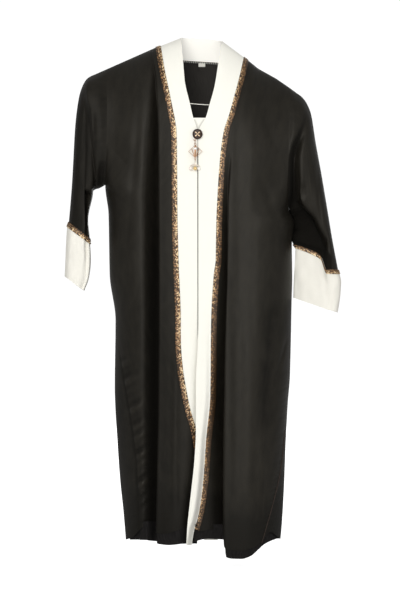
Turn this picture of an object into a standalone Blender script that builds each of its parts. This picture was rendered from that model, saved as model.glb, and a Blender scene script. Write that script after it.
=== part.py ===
"""Long open-front robe in black satin with white front bands and cuffs, hollow, as a wearer fills it.

Metres, +Z up. The front faces -Y and +X is to the right of someone who looks at the front. The origin
is at the height of the neck point of the shoulders, where a wearer holds the robe up.

The cut is drawn on a plain grid of steps, as it shows from the front: x counts to the right, y counts
down, and out counts towards the viewer from the middle plane of the robe. place() turns steps into
metres. Every cloth wall is a grid of points on its outer side and the same grid moved inwards.
"""

import math
from collections import namedtuple

import bmesh
import bpy
import numpy as np

# The grid of steps, and the eye that sees the robe at full height
STEP = 0.0026
VIEWER = 4.2 / STEP
MIDDLE_X = 200.0
LEVEL_Y = 300.0
HOLD_Y = 53.0

# Cloth and seams, in metres
SATIN = 0.0015
BAND = 0.0020
BRAID = 0.0016
SEAM = 0.0003
UNDER_GAP = 0.0014
ROUND_GAP = 0.0032
TAB_GAP = 0.0014

# The hollow, in steps: how far the cloth stands off the middle plane, and how fast it gets there
FRONT_OUT = 40.0
FRONT_FALL = 88.0
BACK_OUT = 36.0
BACK_FALL = 70.0
SIDE_ROUND = 38.0
ARMHOLE_OUT = 23.0

# Widths on the front, in steps
BRAID_WIDE = 5.4
UNDER_LAP = 5.0

# Parts of the way down from the shoulder to the armhole's foot, and from there to the hem
UPPER = np.array([0.0, 0.06, 0.16, 0.28, 0.42, 0.56, 0.70, 0.85, 1.0])
LOWER = np.array([0.09, 0.18, 0.27, 0.36, 0.45, 0.53, 0.61, 0.69, 0.77, 0.84, 0.90, 0.95, 1.0])
ROWS = len(UPPER) + len(LOWER)


def curve(*points):
    """A smooth line through (place, value) points that stays between neighbouring values."""
    at, value = np.array(points, float).T
    step = np.diff(at)
    rise = np.diff(value) / step
    slope = np.zeros(len(at))
    slope[0], slope[-1] = rise[0], rise[-1]
    before, after = rise[:-1], rise[1:]
    together = before * after > 0
    slope[1:-1][together] = 2 * before[together] * after[together] / (before[together] + after[together])

    def read(x):
        x = np.clip(x, at[0], at[-1])
        k = np.clip(np.searchsorted(at, x, side="right") - 1, 0, len(step) - 1)
        t = (x - at[k]) / step[k]
        ends = value[k] * (1 + 2 * t) * (1 - t) ** 2 + value[k + 1] * t ** 2 * (3 - 2 * t)
        return ends + step[k] * (slope[k] * t * (1 - t) ** 2 - slope[k + 1] * t ** 2 * (1 - t))

    return read


def corners(*points):
    """A line through (place, value) points with straight stretches and sharp corners."""
    at, value = np.array(points, float).T
    return lambda x: np.interp(x, at, value)


# Lines that run across: height y at each x
RIDGE = corners((85.8, 80.1), (88, 77.5), (156, 47.4), (160.7, 46), (181, 38), (222, 41),
                (243.6, 57), (250, 61.9), (258, 68.5), (276, 78.5), (290, 88.1), (308, 101.5))
NECKLINE = curve((152, 49), (157, 46.9), (160.7, 46.4), (164, 52), (169, 56.5), (177, 59.4), (187, 60.6),
                 (201, 61.6), (215, 62.4), (227, 63.2), (237, 63.4), (243.5, 62.4), (248, 60.8), (252, 63.5))
ARMPIT = corners((105.2, 185), (288.5, 208))
HEM_LEFT = curve((126.3, 539.5), (132.3, 537.2), (139.5, 530.5), (143, 527), (150, 526.5), (152.5, 527.5),
                 (154.5, 532), (157, 533.4), (163, 533.8), (174.4, 531.5), (186.8, 526.7), (200, 524), (218, 522))
HEM_RIGHT = curve((186, 528), (194, 528.2), (201, 531.5), (208.8, 529.6), (217.5, 529.5), (219.5, 532), (222.3, 545),
                  (226, 549), (233, 550.4), (241.3, 550.6), (252.8, 548), (262.4, 541), (266, 533.5),
                  (270.5, 531.9), (280, 538.7))
STRIP_LEFT = curve((127, 540), (145.7, 540.3), (152, 541.5), (157, 544), (168.6, 545.3), (183.9, 544), (192, 543.8))
STRIP_RIGHT = curve((192, 543.4), (198, 541), (208, 539), (217, 540), (219.5, 543), (222.3, 553.5),
                    (225, 557.3), (233, 559), (241.3, 559.2), (250.9, 556.4), (260.4, 548.7), (270, 542.6),
                    (279, 539))

# Lines that run down: place x at each height
OUTLINE_LEFT = curve((69, 107), (120, 107), (165, 106.3), (185, 105.2), (214, 108.8), (275, 110.2), (320, 116),
                     (386, 115.2), (443, 118), (482, 120.8), (510, 123.7), (545, 126.3))
OUTLINE_RIGHT = curve((88, 290), (133, 289), (190, 288), (208, 288.5), (223, 293.8), (240, 291.5), (276, 291.8),
                      (300, 291.2), (376, 289.5), (405, 287.2), (443, 285.3), (482, 283.8), (520, 281.9),
                      (545, 280))
SEAM_LEFT = curve((185, 105.2), (250, 109.4), (300, 114.2), (345, 118.5), (363, 121), (424, 131.5), (463, 136.3),
                  (507, 138.6), (545, 139.5))
SEAM_RIGHT = curve((208, 288.5), (223, 293.8), (240, 291.5), (300, 290.8), (338, 289), (400, 286.2), (440, 284),
                   (468, 281), (505, 272.6), (525, 267), (541, 262.4), (560, 258))
BAND_LEFT = curve((46, 160.7), (71, 164.9), (99, 170.7), (134, 176.5), (160, 176.9), (217, 177.4), (268, 178.7),
                  (315, 180.6), (342, 180.8), (369, 182.9), (392, 186.7), (411, 190.6), (430, 195.9), (460, 200.5),
                  (500, 203), (545, 204))
EDGE_LEFT = curve((38, 181), (60, 183), (81, 184.8), (103, 189.8), (117, 193.1), (130, 197), (137, 197.3),
                  (330, 197.6), (392, 203.5), (430, 211), (460, 215), (545, 218))
EDGE_RIGHT = curve((41, 222), (60, 218.8), (86, 214.6), (104, 209.7), (117, 205.9), (130, 199), (137, 198.3),
                   (320, 198.3), (350, 197.5), (381, 195.9), (430, 195.9), (460, 194.4), (490, 191.3),
                   (505, 189.6), (527, 187.3), (545, 186.2))
BAND_RIGHT = curve((57, 243.6), (76, 239.5), (95, 234.5), (113, 229.6), (132, 223.7), (160, 220), (195, 217.6),
                   (225, 216.3), (260, 215.7), (275, 213.8), (320, 211.2), (395, 210.2), (440, 205.9), (470, 203.9),
                   (490, 202), (505, 200), (520, 197), (528, 194.4), (545, 191.6))

# How far the left front tucks under the right one, and how far the right band bends back, at each height
TUCK = curve((296, 0), (312, 4), (345, 8), (400, 13), (430, 17), (460, 21), (500, 24), (560, 24))
BEND = curve((300, 0), (380, 3), (440, 7), (480, 11), (520, 13), (560, 13))

# The two deep folds: a row for each height, with the crest that hangs over the fold, its width and depth
FoldRow = namedtuple("FoldRow", "y crest wide deep lean")
FOLD_LEFT = (
    FoldRow(50, 151.0, 1.1, 0.0, 0.0),
    FoldRow(76, 154.9, 2.0, 3.5, 1.0),
    FoldRow(100, 156.3, 2.3, 7.0, 1.6),
    FoldRow(126, 157.2, 2.6, 10.0, 2.0),
    FoldRow(230, 157.7, 3.5, 15.0, 2.0),
    FoldRow(330, 157.7, 3.5, 16.0, 2.0),
    FoldRow(420, 156.7, 3.1, 16.0, 2.0),
    FoldRow(500, 155.0, 2.5, 15.0, 2.0),
    FoldRow(560, 154.6, 2.4, 13.0, 2.0),
)
FOLD_RIGHT = (
    FoldRow(57, 255.0, 2.0, 0.0, 0.0),
    FoldRow(76, 251.5, 2.0, 0.0, 0.2),
    FoldRow(95, 246.5, 2.0, 0.0, 0.2),
    FoldRow(113, 241.0, 2.0, 0.0, 0.2),
    FoldRow(132, 235.0, 2.0, 0.0, 0.2),
    FoldRow(152, 230.4, 2.0, 0.0, 0.2),
    FoldRow(175, 228.2, 2.0, 1.5, 0.5),
    FoldRow(200, 227.0, 2.0, 4.0, 1.2),
    FoldRow(240, 227.2, 2.2, 8.0, 1.8),
    FoldRow(280, 227.0, 2.4, 10.0, 2.0),
    FoldRow(340, 225.0, 2.8, 12.0, 2.0),
    FoldRow(400, 223.8, 3.4, 14.0, 2.0),
    FoldRow(440, 223.0, 3.8, 15.0, 2.0),
    FoldRow(480, 222.6, 4.2, 16.0, 2.0),
    FoldRow(530, 222.9, 4.2, 15.0, 2.0),
    FoldRow(560, 224.6, 4.2, 14.0, 2.0),
)
FOLD_COLUMNS = np.array([-2.5, -1.7, -1.1, -0.6, -0.2, 0.25, 0.75, 1.25, 1.8, 2.5])
OVERHANG = 1.67

# Soft folds: place at the top and foot, height of both, half width and depth. The last three are on the back.
SoftFold = namedtuple("SoftFold", "x_top x_foot y_top y_foot wide deep")
SOFT_FRONT = (
    SoftFold(141, 123, 85, 290, 6.0, 2.6),
    SoftFold(176, 175, 330, 545, 4.0, 1.8),
    SoftFold(256, 262, 110, 340, 7.0, 2.4),
    SoftFold(240, 236, 200, 500, 6.0, 1.6),
    SoftFold(278, 268, 250, 470, 6.0, 2.6),
)
SOFT_BACK = (
    SoftFold(158, 150, 110, 620, 9.0, 7.0),
    SoftFold(203, 200, 150, 620, 10.0, 6.0),
    SoftFold(246, 254, 120, 620, 9.0, 7.0),
)

# Sleeves: a row for each ring after the armhole. outer, fold, under and inner are corners of the ring's
# front as it shows, front and back its depths, crease a furrow at the fold, step how far under lies back.
Ring = namedtuple("Ring", "outer fold under inner front crease step back aside", defaults=(0,))
SLEEVE_LEFT = (
    Ring((97, 73.5), (97, 97), (99, 114), (101.5, 187.2), 24, 0, 0, 23),
    Ring((87.5, 78.3), (87, 96), (91, 112), (98.5, 188.6), 24, 3, 0, 22),
    Ring((80, 93), (85.6, 112), (88.8, 124), (96, 189.2), 23, 6, 0, 21),
    Ring((75.3, 125), (85.2, 146), (87.6, 156), (94.8, 189.9), 22, 8, 0, 20),
    Ring((73.3, 160), (84.4, 184.5), (85.8, 188), (93.6, 190.6), 20, 9, 0, 19),
    Ring((72.2, 180), (84.3, 193.5), (85.2, 195), (92.5, 197.5), 19, 8, 9, 18),
    Ring((70.5, 203), (84.5, 216), (85.5, 217), (88.2, 219.5), 18, 5, 8, 17),
    Ring((68.8, 222.4), (84.6, 234.8), (86, 236), (90, 239.2), 17, 2, 4, 17),
)
SLEEVE_RIGHT = (
    Ring((296, 92.5), (293.5, 172), (293.2, 190), (290.6, 210.0), 23, 0, 0, 22, 3),
    Ring((303, 98), (298, 173), (299.2, 190), (290.9, 213.0), 24, 0, 0, 22, 9),
    Ring((310.5, 112), (300.5, 198), (300, 203), (291.2, 217.0), 24, 0, 3, 21, 14),
    Ring((316, 144), (307, 209), (305, 211.5), (291.7, 221.5), 23, 0, 8, 20, 17),
    Ring((322, 177), (313.8, 216.8), (311.5, 219.5), (292.1, 227), 21, 0, 10, 18, 17),
    Ring((327.2, 208), (320, 229.2), (317.5, 231.5), (292.6, 233), 18, 0, 9, 16, 10),
    Ring((332.5, 240), (327, 245.5), (323.5, 247.5), (292.4, 239), 15, 0, 7, 14, 4),
    Ring((338.2, 270.3), (326.3, 269.3), (320, 255), (294.2, 244.2), 13, 0, 5, 12, 0),
)
CUFF_LEFT = (
    Ring((67.2, 227), (83.8, 239.4), (85.8, 240.9), (90.2, 244.4), 17, 2, 4, 17),
    Ring((65.9, 246), (83, 255.5), (86.5, 257.5), (91, 259.5), 17, 1, 3, 17),
    Ring((65.3, 262), (80.5, 271.5), (86, 275), (89.2, 277), 16, 0, 2, 17),
    Ring((64.6, 276.4), (77.5, 286.2), (82, 289.4), (84.4, 290.7), 16, 0, 2, 16),
)
CUFF_RIGHT = (
    Ring((339.6, 274.3), (327, 273.8), (320.8, 259.8), (295.5, 248.4), 13, 0, 4, 12),
    Ring((341.2, 282), (328, 284), (321, 275), (294.8, 262.5), 11, 0, 2, 11),
    Ring((340.4, 295), (327.5, 297.5), (318, 291), (293.8, 281), 10, 0, 0, 10),
    Ring((337.8, 312.5), (327.5, 309.6), (316, 305.6), (293.3, 297.7), 10, 0, 0, 9),
)
FOLD_AT_LEFT = 3
FOLD_AT_RIGHT = 6

# The furrow between the body and the right sleeve: height, place and depth
ARM_FURROW = curve((116, 306), (133, 301.5), (146, 297), (157, 294.3), (170, 293.6), (208, 294.5))
ARM_FURROW_DEEP = curve((112, 0), (133, 4), (150, 8), (190, 9), (208, 4))
ARM_FURROW_WIDE = 4.2

# Collar at the back of the neck: free edge, by place x on the neckline
COLLAR_EDGE = (
    (160.9, 181.0, 38.0, -0.4), (164, 180.8, 37.8, -5), (169, 181.3, 37.7, -10), (177, 184.5, 37.9, -15),
    (187, 190, 38.3, -17.5), (201, 201, 39.1, -18.5), (215, 213, 40.0, -17.5), (227, 219.5, 40.6, -14),
    (237, 221.7, 41.0, -9), (243.5, 222.2, 41.2, -4), (248, 222.0, 41.0, -0.4))
NECK_COLUMNS = np.array([row[0] for row in COLLAR_EDGE])
BACK_COLUMNS = np.concatenate([[145, 152], NECK_COLUMNS, [252]])

# Tab, tag and tape: the box of each on the front, in steps
Patch = namedtuple("Patch", "left right top foot")
TAB = Patch(186.5, 210.5, 117.6, 147.0)
TAG = Patch(197.0, 206.0, 62.6, 66.6)
TAPE = Patch(186.3, 213.7, 103.0, 105.0)
TAPE_WIDE = 1.15
TAPE_OUT = 37.45

# The button, on its shank: radius and depth of each edge of its outline, in steps
BUTTON = (197.5, 134.0)
BUTTON_TURN = ((0, 40.12), (1.1, 40.12), (1.1, 41.6), (4.5, 41.7), (5.1, 42.2), (5.1, 42.9), (4.75, 43.4),
               (4.3, 43.55), (4.0, 43.25), (2.0, 43.35), (0, 43.4))

# The charm hangs in one plane in front of the bands, from an eye at the button's edge
CHARM_OUT = 43.0
WIRE = 0.25
EYE_AT = (194.9, 139.9)
EYE_RADIUS = 1.0
LINK_TOP, LINK_FOOT = 140.25, 143.8
DROP_LINK_TOP, DROP_LINK_FOOT = 158.65, 161.15
PLATE = 0.7
BAR = 0.36
CRYSTAL = ((0, 43.5), (1.0, 43.5), (1.15, 43.8), (0.7, 44.25), (0, 44.3))

# Corners of the charm's two flat pieces, seen from the front
DIAMOND = {
    "top_left": (194.8, 145.3), "top_right": (196.0, 145.3), "left": (188.3, 151.5), "right": (202.3, 151.5),
    "high_left": (191.6, 148.4), "high_right": (199.1, 148.4), "low_left": (194.5, 157.2),
    "low_right": (195.7, 157.2), "eye_left": (193.9, 144.5), "eye_high_left": (194.3, 142.9),
    "eye_high_right": (195.7, 142.9), "eye_right": (196.3, 144.5), "foot_left": (193.9, 158.0),
    "foot_low_left": (194.3, 159.5), "foot_low_right": (195.8, 159.5), "foot_right": (196.3, 158.0),
}
DIAMOND_OPEN = (
    ("low_left", "left", "high_left"), ("low_left", "high_left", "top_left"),
    ("low_right", "high_right", "right"), ("low_right", "top_right", "high_right"),
    ("top_left", "eye_left", "eye_high_left", "eye_high_right", "eye_right", "top_right"),
    ("low_right", "foot_right", "foot_low_right", "foot_low_left", "foot_left", "low_left"),
)
DIAMOND_FULL = (("low_left", "top_left", "top_right", "low_right"),)
DROP = {
    "eye_low_left": (194.7, 163.0), "eye_left": (194.0, 161.9), "eye_high_left": (194.4, 160.3),
    "eye_high_right": (195.8, 160.3), "eye_right": (196.2, 161.9), "eye_low_right": (195.5, 163.0),
    "arm_left": (190.2, 165.6), "arm_low_left": (190.7, 166.35), "arm_low_right": (198.9, 166.4),
    "arm_right": (199.4, 165.6), "waist_left": (194.4, 166.2), "waist_right": (195.8, 166.2),
}
DROP_OPEN = (("eye_low_left", "eye_left", "eye_high_left", "eye_high_right", "eye_right", "eye_low_right"),)
DROP_FULL = (
    ("eye_low_left", "eye_low_right", "waist_right", "waist_left"),
    ("eye_low_left", "waist_left", "arm_low_left", "arm_left"),
    ("eye_low_right", "arm_right", "arm_low_right", "waist_right"),
)

# Pearls: place, depth and radius, in steps
Pearl = namedtuple("Pearl", "name x y out radius")
PEARLS = (
    Pearl("pearl_gold", 195.1, 168.4, 43.4, 2.0),
    Pearl("pearl_white", 199.0, 168.4, 42.4, 1.8),
    Pearl("pearl_rose", 190.6, 168.3, 43.0, 1.8),
)


def place(x, y, out):
    """Metres of a point that shows at step (x, y) and stands out steps in front of the middle plane."""
    x, y, out = np.broadcast_arrays(np.asarray(x, float), np.asarray(y, float), np.asarray(out, float))
    near = 1 - out / VIEWER
    across = (x - MIDDLE_X) * near
    up = (LEVEL_Y - y) * near + HOLD_Y - LEVEL_Y
    return np.stack([across, -out, up], axis=-1) * STEP


def round_in(t):
    """A quarter of a circle: 0 at the edge, rising steeply, and 1 from t = 1 on."""
    return np.sqrt(1 - (1 - np.clip(t, 0, 1)) ** 2)


def ease(t):
    """A smooth rise from 0 to 1."""
    t = np.clip(t, 0, 1)
    return t * t * (3 - 2 * t)


def armhole_out(y, top, foot):
    """Half the armhole's depth at height y: an ellipse from its top to its foot."""
    t = np.clip((y - top) / (foot - top), 0, 1)
    return ARMHOLE_OUT * 2 * np.sqrt(t * (1 - t))


def stand_off(x, y, out, fall):
    """How far the plain cloth stands off the middle plane: rounded over the shoulder and at both sides."""
    full = out * round_in((y - RIDGE(x)) / fall)
    left, right = OUTLINE_LEFT(y), OUTLINE_RIGHT(y)
    on_left = x < (left + right) / 2
    side = np.where(on_left, round_in((x - left) / SIDE_ROUND), round_in((right - x) / SIDE_ROUND))
    arm = np.where(on_left, armhole_out(y, 69.1, 185.0), armhole_out(y, 88.1, 208.0))
    arm = np.minimum(arm, full)
    return arm + (full - arm) * side


def fold_at(fold, y):
    """Crest, width, depth and lean of a deep fold at height y."""
    rows = np.array(fold, float).T
    return [np.interp(y, rows[0], column) for column in rows[1:]]


def lean_fold(fold, x, y):
    """A deep fold: a bell-shaped furrow whose floor is pushed under the crest. Returns the shift and the depth."""
    crest, wide, deep, lean = fold_at(fold, y)
    floor = crest - wide * (OVERHANG / 2 * lean)
    bell = np.exp(-((x - floor) / wide) ** 2)
    return wide * lean * bell, deep * bell


def fold_span(fold, y, t):
    """Plain place x of part t of a deep fold, counted in widths from its floor."""
    crest, wide, _, lean = fold_at(fold, y)
    return crest - wide * (OVERHANG / 2 * lean) + wide * t


def soft_folds(folds, x, y):
    """Depth of the soft folds: bell-shaped furrows that fade in at their top and out at their foot."""
    total = np.zeros(np.broadcast(x, y).shape)
    for fold in folds:
        t = (y - fold.y_top) / (fold.y_foot - fold.y_top)
        centre = fold.x_top + (fold.x_foot - fold.x_top) * np.clip(t, 0, 1)
        fade = ease(4 * t) * ease(4 * (1 - t))
        total = total + fold.deep * fade * np.exp(-((x - centre) / fold.wide) ** 2)
    return total


def left_front(x, y):
    """The left front, band and all: plain cloth, the deep fold, soft folds and the tuck under the right."""
    shift, deep = lean_fold(FOLD_LEFT, x, y)
    tuck = TUCK(y) * ease((x - EDGE_RIGHT(y) + 8) / 22)
    out = stand_off(x, y, FRONT_OUT, FRONT_FALL) - deep - tuck - soft_folds(SOFT_FRONT, x, y)
    return place(x + shift, y, out)


def right_front(x, y):
    """The right front, band and all: plain cloth, the deep fold, soft folds and the bent band."""
    shift, deep = lean_fold(FOLD_RIGHT, x, y)
    _, _, full_deep, _ = fold_at(FOLD_RIGHT, y)
    bell = deep / np.maximum(full_deep, 1e-6)
    past = x > fold_span(FOLD_RIGHT, y, 0.0)
    bend = BEND(y) * ease((x - BAND_RIGHT(y) + 6) / 6) * (1 - bell) * np.where(past, bell, 1)
    out = stand_off(x, y, FRONT_OUT, FRONT_FALL) - deep - bend - soft_folds(SOFT_FRONT, x, y)
    return place(x + shift, y, out)


def plain_place(fold, x, y):
    """Plain place of a point of a leaning fold's open side that shows at x, found by halving."""
    low = fold_span(fold, y, -9.0)
    high = fold_span(fold, y, 0.25)
    for _ in range(40):
        half = (low + high) / 2
        shift, _ = lean_fold(fold, half, y)
        beyond = half + shift > x
        high = np.where(beyond, half, high)
        low = np.where(beyond, low, half)
    return (low + high) / 2


def rows_down(x, top, hem):
    """Height of every row at places x: from the top line by the armhole's foot to the hem line."""
    top_y, arm_y, hem_y = top(x), ARMPIT(x), hem(x)
    part_upper = np.append(UPPER, np.ones(len(LOWER)))
    part_lower = np.append(np.zeros(len(UPPER)), LOWER)
    return top_y + part_upper[:, None] * (arm_y - top_y) + part_lower[:, None] * (hem_y - arm_y)


def settle(columns, top, hem):
    """A grid of places and heights: columns(y) gives each row's places for its heights, by going round."""
    y = np.linspace(60, 530, ROWS)[:, None]
    for _ in range(12):
        x = columns(y)
        rows = rows_down(x.ravel(), top, hem).reshape(ROWS, *x.shape)
        y = np.stack([rows[k, k] for k in range(ROWS)])
    return columns(y), y


def between(start, end, parts):
    """Places between two columns."""
    return start + (end - start) * parts


def normals_of(points, closed):
    """Outward normal at each point of a grid, from the mean directions along its rows and columns."""
    if closed:
        ring = np.concatenate([points[:, -1:], points, points[:, :1]], axis=1)
        steps = unit(np.diff(ring, axis=1))
        along = steps[:, 1:] + steps[:, :-1]
    else:
        steps = unit(np.diff(points, axis=1))
        along = np.concatenate([steps[:, :1], steps[:, 1:] + steps[:, :-1], steps[:, -1:]], axis=1)
    steps = unit(np.diff(points, axis=0))
    down = np.concatenate([steps[:1], steps[1:] + steps[:-1], steps[-1:]], axis=0)
    normal = np.cross(along, -down)
    return normal / np.maximum(np.linalg.norm(normal, axis=-1, keepdims=True), 1e-12)


def wall(name, points, thick, finish, normals=None, closed=False, lift=0.0):
    """A closed cloth wall: a grid of outer points, the grid moved in by the cloth's thickness, and rims."""
    if normals is None:
        normals = normals_of(points, closed)
    outer = points + normals * lift
    inner = outer - normals * thick
    rows, columns = points.shape[:2]
    verts = np.concatenate([outer.reshape(-1, 3), inner.reshape(-1, 3)])
    index = np.arange(rows * columns).reshape(rows, columns)
    if closed:
        index = np.concatenate([index, index[:, :1]], axis=1)
    a, b, c, d = (q.ravel() for q in (index[:-1, :-1], index[1:, :-1], index[1:, 1:], index[:-1, 1:]))
    flat = points.reshape(-1, 3)
    short = np.linalg.norm(flat[a] - flat[c], axis=1) <= np.linalg.norm(flat[b] - flat[d], axis=1)
    first = np.where(short, np.stack([a, b, c]), np.stack([a, b, d])).T
    second = np.where(short, np.stack([a, c, d]), np.stack([b, c, d])).T
    skin = np.concatenate([first, second])
    far = index + rows * columns
    rims = [np.stack([index[0, :-1], index[0, 1:], far[0, 1:], far[0, :-1]], -1)]
    rims.append(np.stack([index[-1, 1:], index[-1, :-1], far[-1, :-1], far[-1, 1:]], -1))
    if not closed:
        rims.append(np.stack([index[1:, 0], index[:-1, 0], far[:-1, 0], far[1:, 0]], -1))
        rims.append(np.stack([index[:-1, -1], index[1:, -1], far[1:, -1], far[:-1, -1]], -1))
    faces = skin.tolist() + (skin[:, ::-1] + rows * columns).tolist() + np.concatenate(rims).tolist()
    return solid(name, verts, faces, finish)


def solid(name, verts, faces, finish):
    """A new object from points and faces, smooth, with its faces turned outwards."""
    mesh = bpy.data.meshes.new(name)
    mesh.from_pydata([tuple(v) for v in np.asarray(verts, float).tolist()], [], faces)
    shape = bmesh.new()
    shape.from_mesh(mesh)
    bmesh.ops.recalc_face_normals(shape, faces=shape.faces)
    shape.to_mesh(mesh)
    shape.free()
    mesh.shade_smooth()
    mesh.materials.append(finish)
    piece = bpy.data.objects.new(name, mesh)
    bpy.context.collection.objects.link(piece)
    return piece


def material(name, colour, roughness, metallic=0.0):
    """A plain finish."""
    finish = bpy.data.materials.new(name)
    finish.use_nodes = True
    shader = finish.node_tree.nodes["Principled BSDF"]
    shader.inputs["Base Color"].default_value = (*colour, 1.0)
    shader.inputs["Roughness"].default_value = roughness
    shader.inputs["Metallic"].default_value = metallic
    return finish


def unit(v):
    """A vector or an array of vectors at length 1."""
    return v / np.maximum(np.linalg.norm(v, axis=-1, keepdims=True), 1e-12)


def ridge_normals(x):
    """Upright normals across the shoulder seam at places x, so that the walls meet along it face to face."""
    slope = (RIDGE(x + 1.5) - RIDGE(x - 1.5)) / 3.0
    return unit(np.stack([slope, np.zeros_like(slope), np.ones_like(slope)], axis=-1))


def surface_normals(surface, x, y):
    """Outward normals of a front at places and heights, the same for every piece that is cut from it."""
    across = surface(x + 0.4, y) - surface(x - 0.4, y)
    down = surface(x, y + 0.4) - surface(x, y - 0.4)
    return unit(np.cross(across, -down))


def level_normals(seam, sign):
    """Level normals along a seam, so that the pieces above and below it meet face to face."""
    along = np.gradient(seam, axis=0)
    across = np.cross(along, [0.0, 0.0, 1.0])
    return unit(across * np.where(across[:, 1:2] * sign < 0, -1, 1))


def armhole_normals(points, centre):
    """Normals within the armhole's own plane, so that body and sleeve meet there face to face."""
    along = np.gradient(points, axis=0)
    out = np.stack([np.zeros(len(points)), along[:, 2], -along[:, 1]], axis=-1)
    away = points - centre
    away[:, 0] = 0
    facing = np.sign(np.sum(out * away, axis=-1, keepdims=True))
    return unit(out * np.where(facing == 0, 1, facing))


def side_seam(side, y):
    """Place of a side seam at height y, never outside the outline; above the armhole's foot it is the outline."""
    if side < 0:
        return np.where(y < 185, OUTLINE_LEFT(y), np.maximum(SEAM_LEFT(y), OUTLINE_LEFT(y)))
    return np.where(y < 208, OUTLINE_RIGHT(y), np.minimum(SEAM_RIGHT(y), OUTLINE_RIGHT(y)))


def seam_normal(side, y):
    """Normal of the body's rounded side along a side seam, the same for the front and for the back."""
    outline = OUTLINE_LEFT(y) if side < 0 else OUTLINE_RIGHT(y)
    across = np.clip(abs(side_seam(side, y) - outline) / SIDE_ROUND, 0, 1)
    turn = np.arccos(1 - across)
    flat = np.stack([side * FRONT_OUT * np.cos(turn), -SIDE_ROUND * np.sin(turn), np.zeros_like(turn)], axis=-1)
    return unit(flat)


def armhole_centre(side):
    """Middle of an armhole in metres."""
    return place(107, 127, 0) if side < 0 else place(289, 148, 0)


def front_panel(name, surface, columns, hem, side, finish, copper):
    """One satin front, its rims squared to their seams, and the braid that lies on it along the band."""
    x, y = settle(columns, RIDGE, hem)
    points = surface(x, y)
    normals = normals_of(points, False)
    edge, border, beside = (0, -1, -2) if side < 0 else (-1, 0, 1)
    arm = len(UPPER)
    normals[1:arm - 1, edge] = armhole_normals(points[:arm, edge], armhole_centre(side))[1:-1]
    normals[arm - 1:, edge] = seam_normal(side, y[arm - 1:, edge])
    normals[:, border] = surface_normals(surface, x[:, border], y[:, border])
    normals[0] = ridge_normals(x[0])
    points = move_in(points, edge, arm - 1, SEAM / 2)
    points = move_in(points, border, 0, SEAM / 2)
    points[0, :, 1] -= SEAM / 2
    wall(name, points, SATIN, finish, normals)
    lane = [beside, border] if side < 0 else [border, beside]
    wall(name.replace("front", "braid"), points[:, lane], BRAID, copper, normals[:, lane], lift=BRAID + SEAM)


def move_in(points, edge, first, distance):
    """Moves an edge column of a grid towards its neighbour, from row first on."""
    points = points.copy()
    inside = 1 if edge == 0 else -2
    points[first:, edge] += unit(points[first:, inside] - points[first:, edge]) * distance
    return points


def left_columns(y):
    """Places across the left front's satin: closer where it turns at the side and in the deep fold."""
    start = side_seam(-1, y[:, :1])
    fold_y = y[:, y.shape[1] // 2:y.shape[1] // 2 + 1]
    first = fold_span(FOLD_LEFT, fold_y, FOLD_COLUMNS[0])
    last = fold_span(FOLD_LEFT, fold_y, FOLD_COLUMNS[-1])
    turn = 1 - np.cos(np.linspace(0, math.pi / 2, 7)[:-1])
    border = BAND_LEFT(y[:, -1:])
    beyond = np.array([0.33, 0.67, 1.0])
    return np.concatenate([between(start, first, turn), fold_span(FOLD_LEFT, fold_y, FOLD_COLUMNS),
                           between(last, border - BRAID_WIDE, beyond), border], axis=1)


def right_columns(y):
    """Places across the right front's satin, from the band through the deep fold to the side."""
    border = plain_place(FOLD_RIGHT, BAND_RIGHT(y[:, :1]), y[:, :1])
    lane = plain_place(FOLD_RIGHT, BAND_RIGHT(y[:, :1]) + BRAID_WIDE, y[:, :1])
    fold_y = y[:, y.shape[1] // 2:y.shape[1] // 2 + 1]
    second = fold_span(FOLD_RIGHT, fold_y, FOLD_COLUMNS[3])
    last = fold_span(FOLD_RIGHT, fold_y, FOLD_COLUMNS[-1])
    end = side_seam(1, y[:, -1:])
    middle = between(last, end, np.array([0.2, 0.4, 0.6]))
    turn = np.sin(np.linspace(0, math.pi / 2, 5))[1:] * 0.4 + 0.6
    return np.concatenate([border, between(lane, second, np.array([0, 0.5])),
                           fold_span(FOLD_RIGHT, fold_y, FOLD_COLUMNS[3:]), middle,
                           between(last, end, turn)], axis=1)


def band_piece(name, surface, outer, free, hem, foot, finish, fold=None):
    """A white front band from its seam with the satin to its free edge, and on below the satin's hem."""
    def columns(y):
        start = outer(y[:, :1]) if fold is None else plain_place(fold, outer(y[:, :1]), y[:, :1])
        return between(start, free(y[:, -1:]), np.linspace(0, 1, 5))

    x, y = settle(columns, RIDGE, hem)
    below = y[-1:] + (foot - y[-1:]) * np.array([[0.5], [1.0]])
    more = np.concatenate([columns(below[:1]), columns(below[1:])])
    x, y = np.concatenate([x, more]), np.concatenate([y, below])
    points = surface(x, y)
    normals = surface_normals(surface, x, y)
    normals[0] = ridge_normals(x[0])
    points = move_in(points, 0, 0, SEAM)
    points[0, :, 1] -= SEAM / 2
    return wall(name, points, BAND, finish, normals)


def body_fronts(satin, white, copper):
    """Both fronts with their bands and braids."""
    front_panel("front_left", left_front, left_columns, HEM_LEFT, -1, satin, copper)
    front_panel("front_right", right_front, right_columns, HEM_RIGHT, 1, satin, copper)
    band_piece("band_left", left_front, BAND_LEFT, EDGE_LEFT, HEM_LEFT, 540.0, white)
    band_piece("band_right", right_front, BAND_RIGHT, EDGE_RIGHT, HEM_RIGHT, 544.8, white, FOLD_RIGHT)


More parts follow.
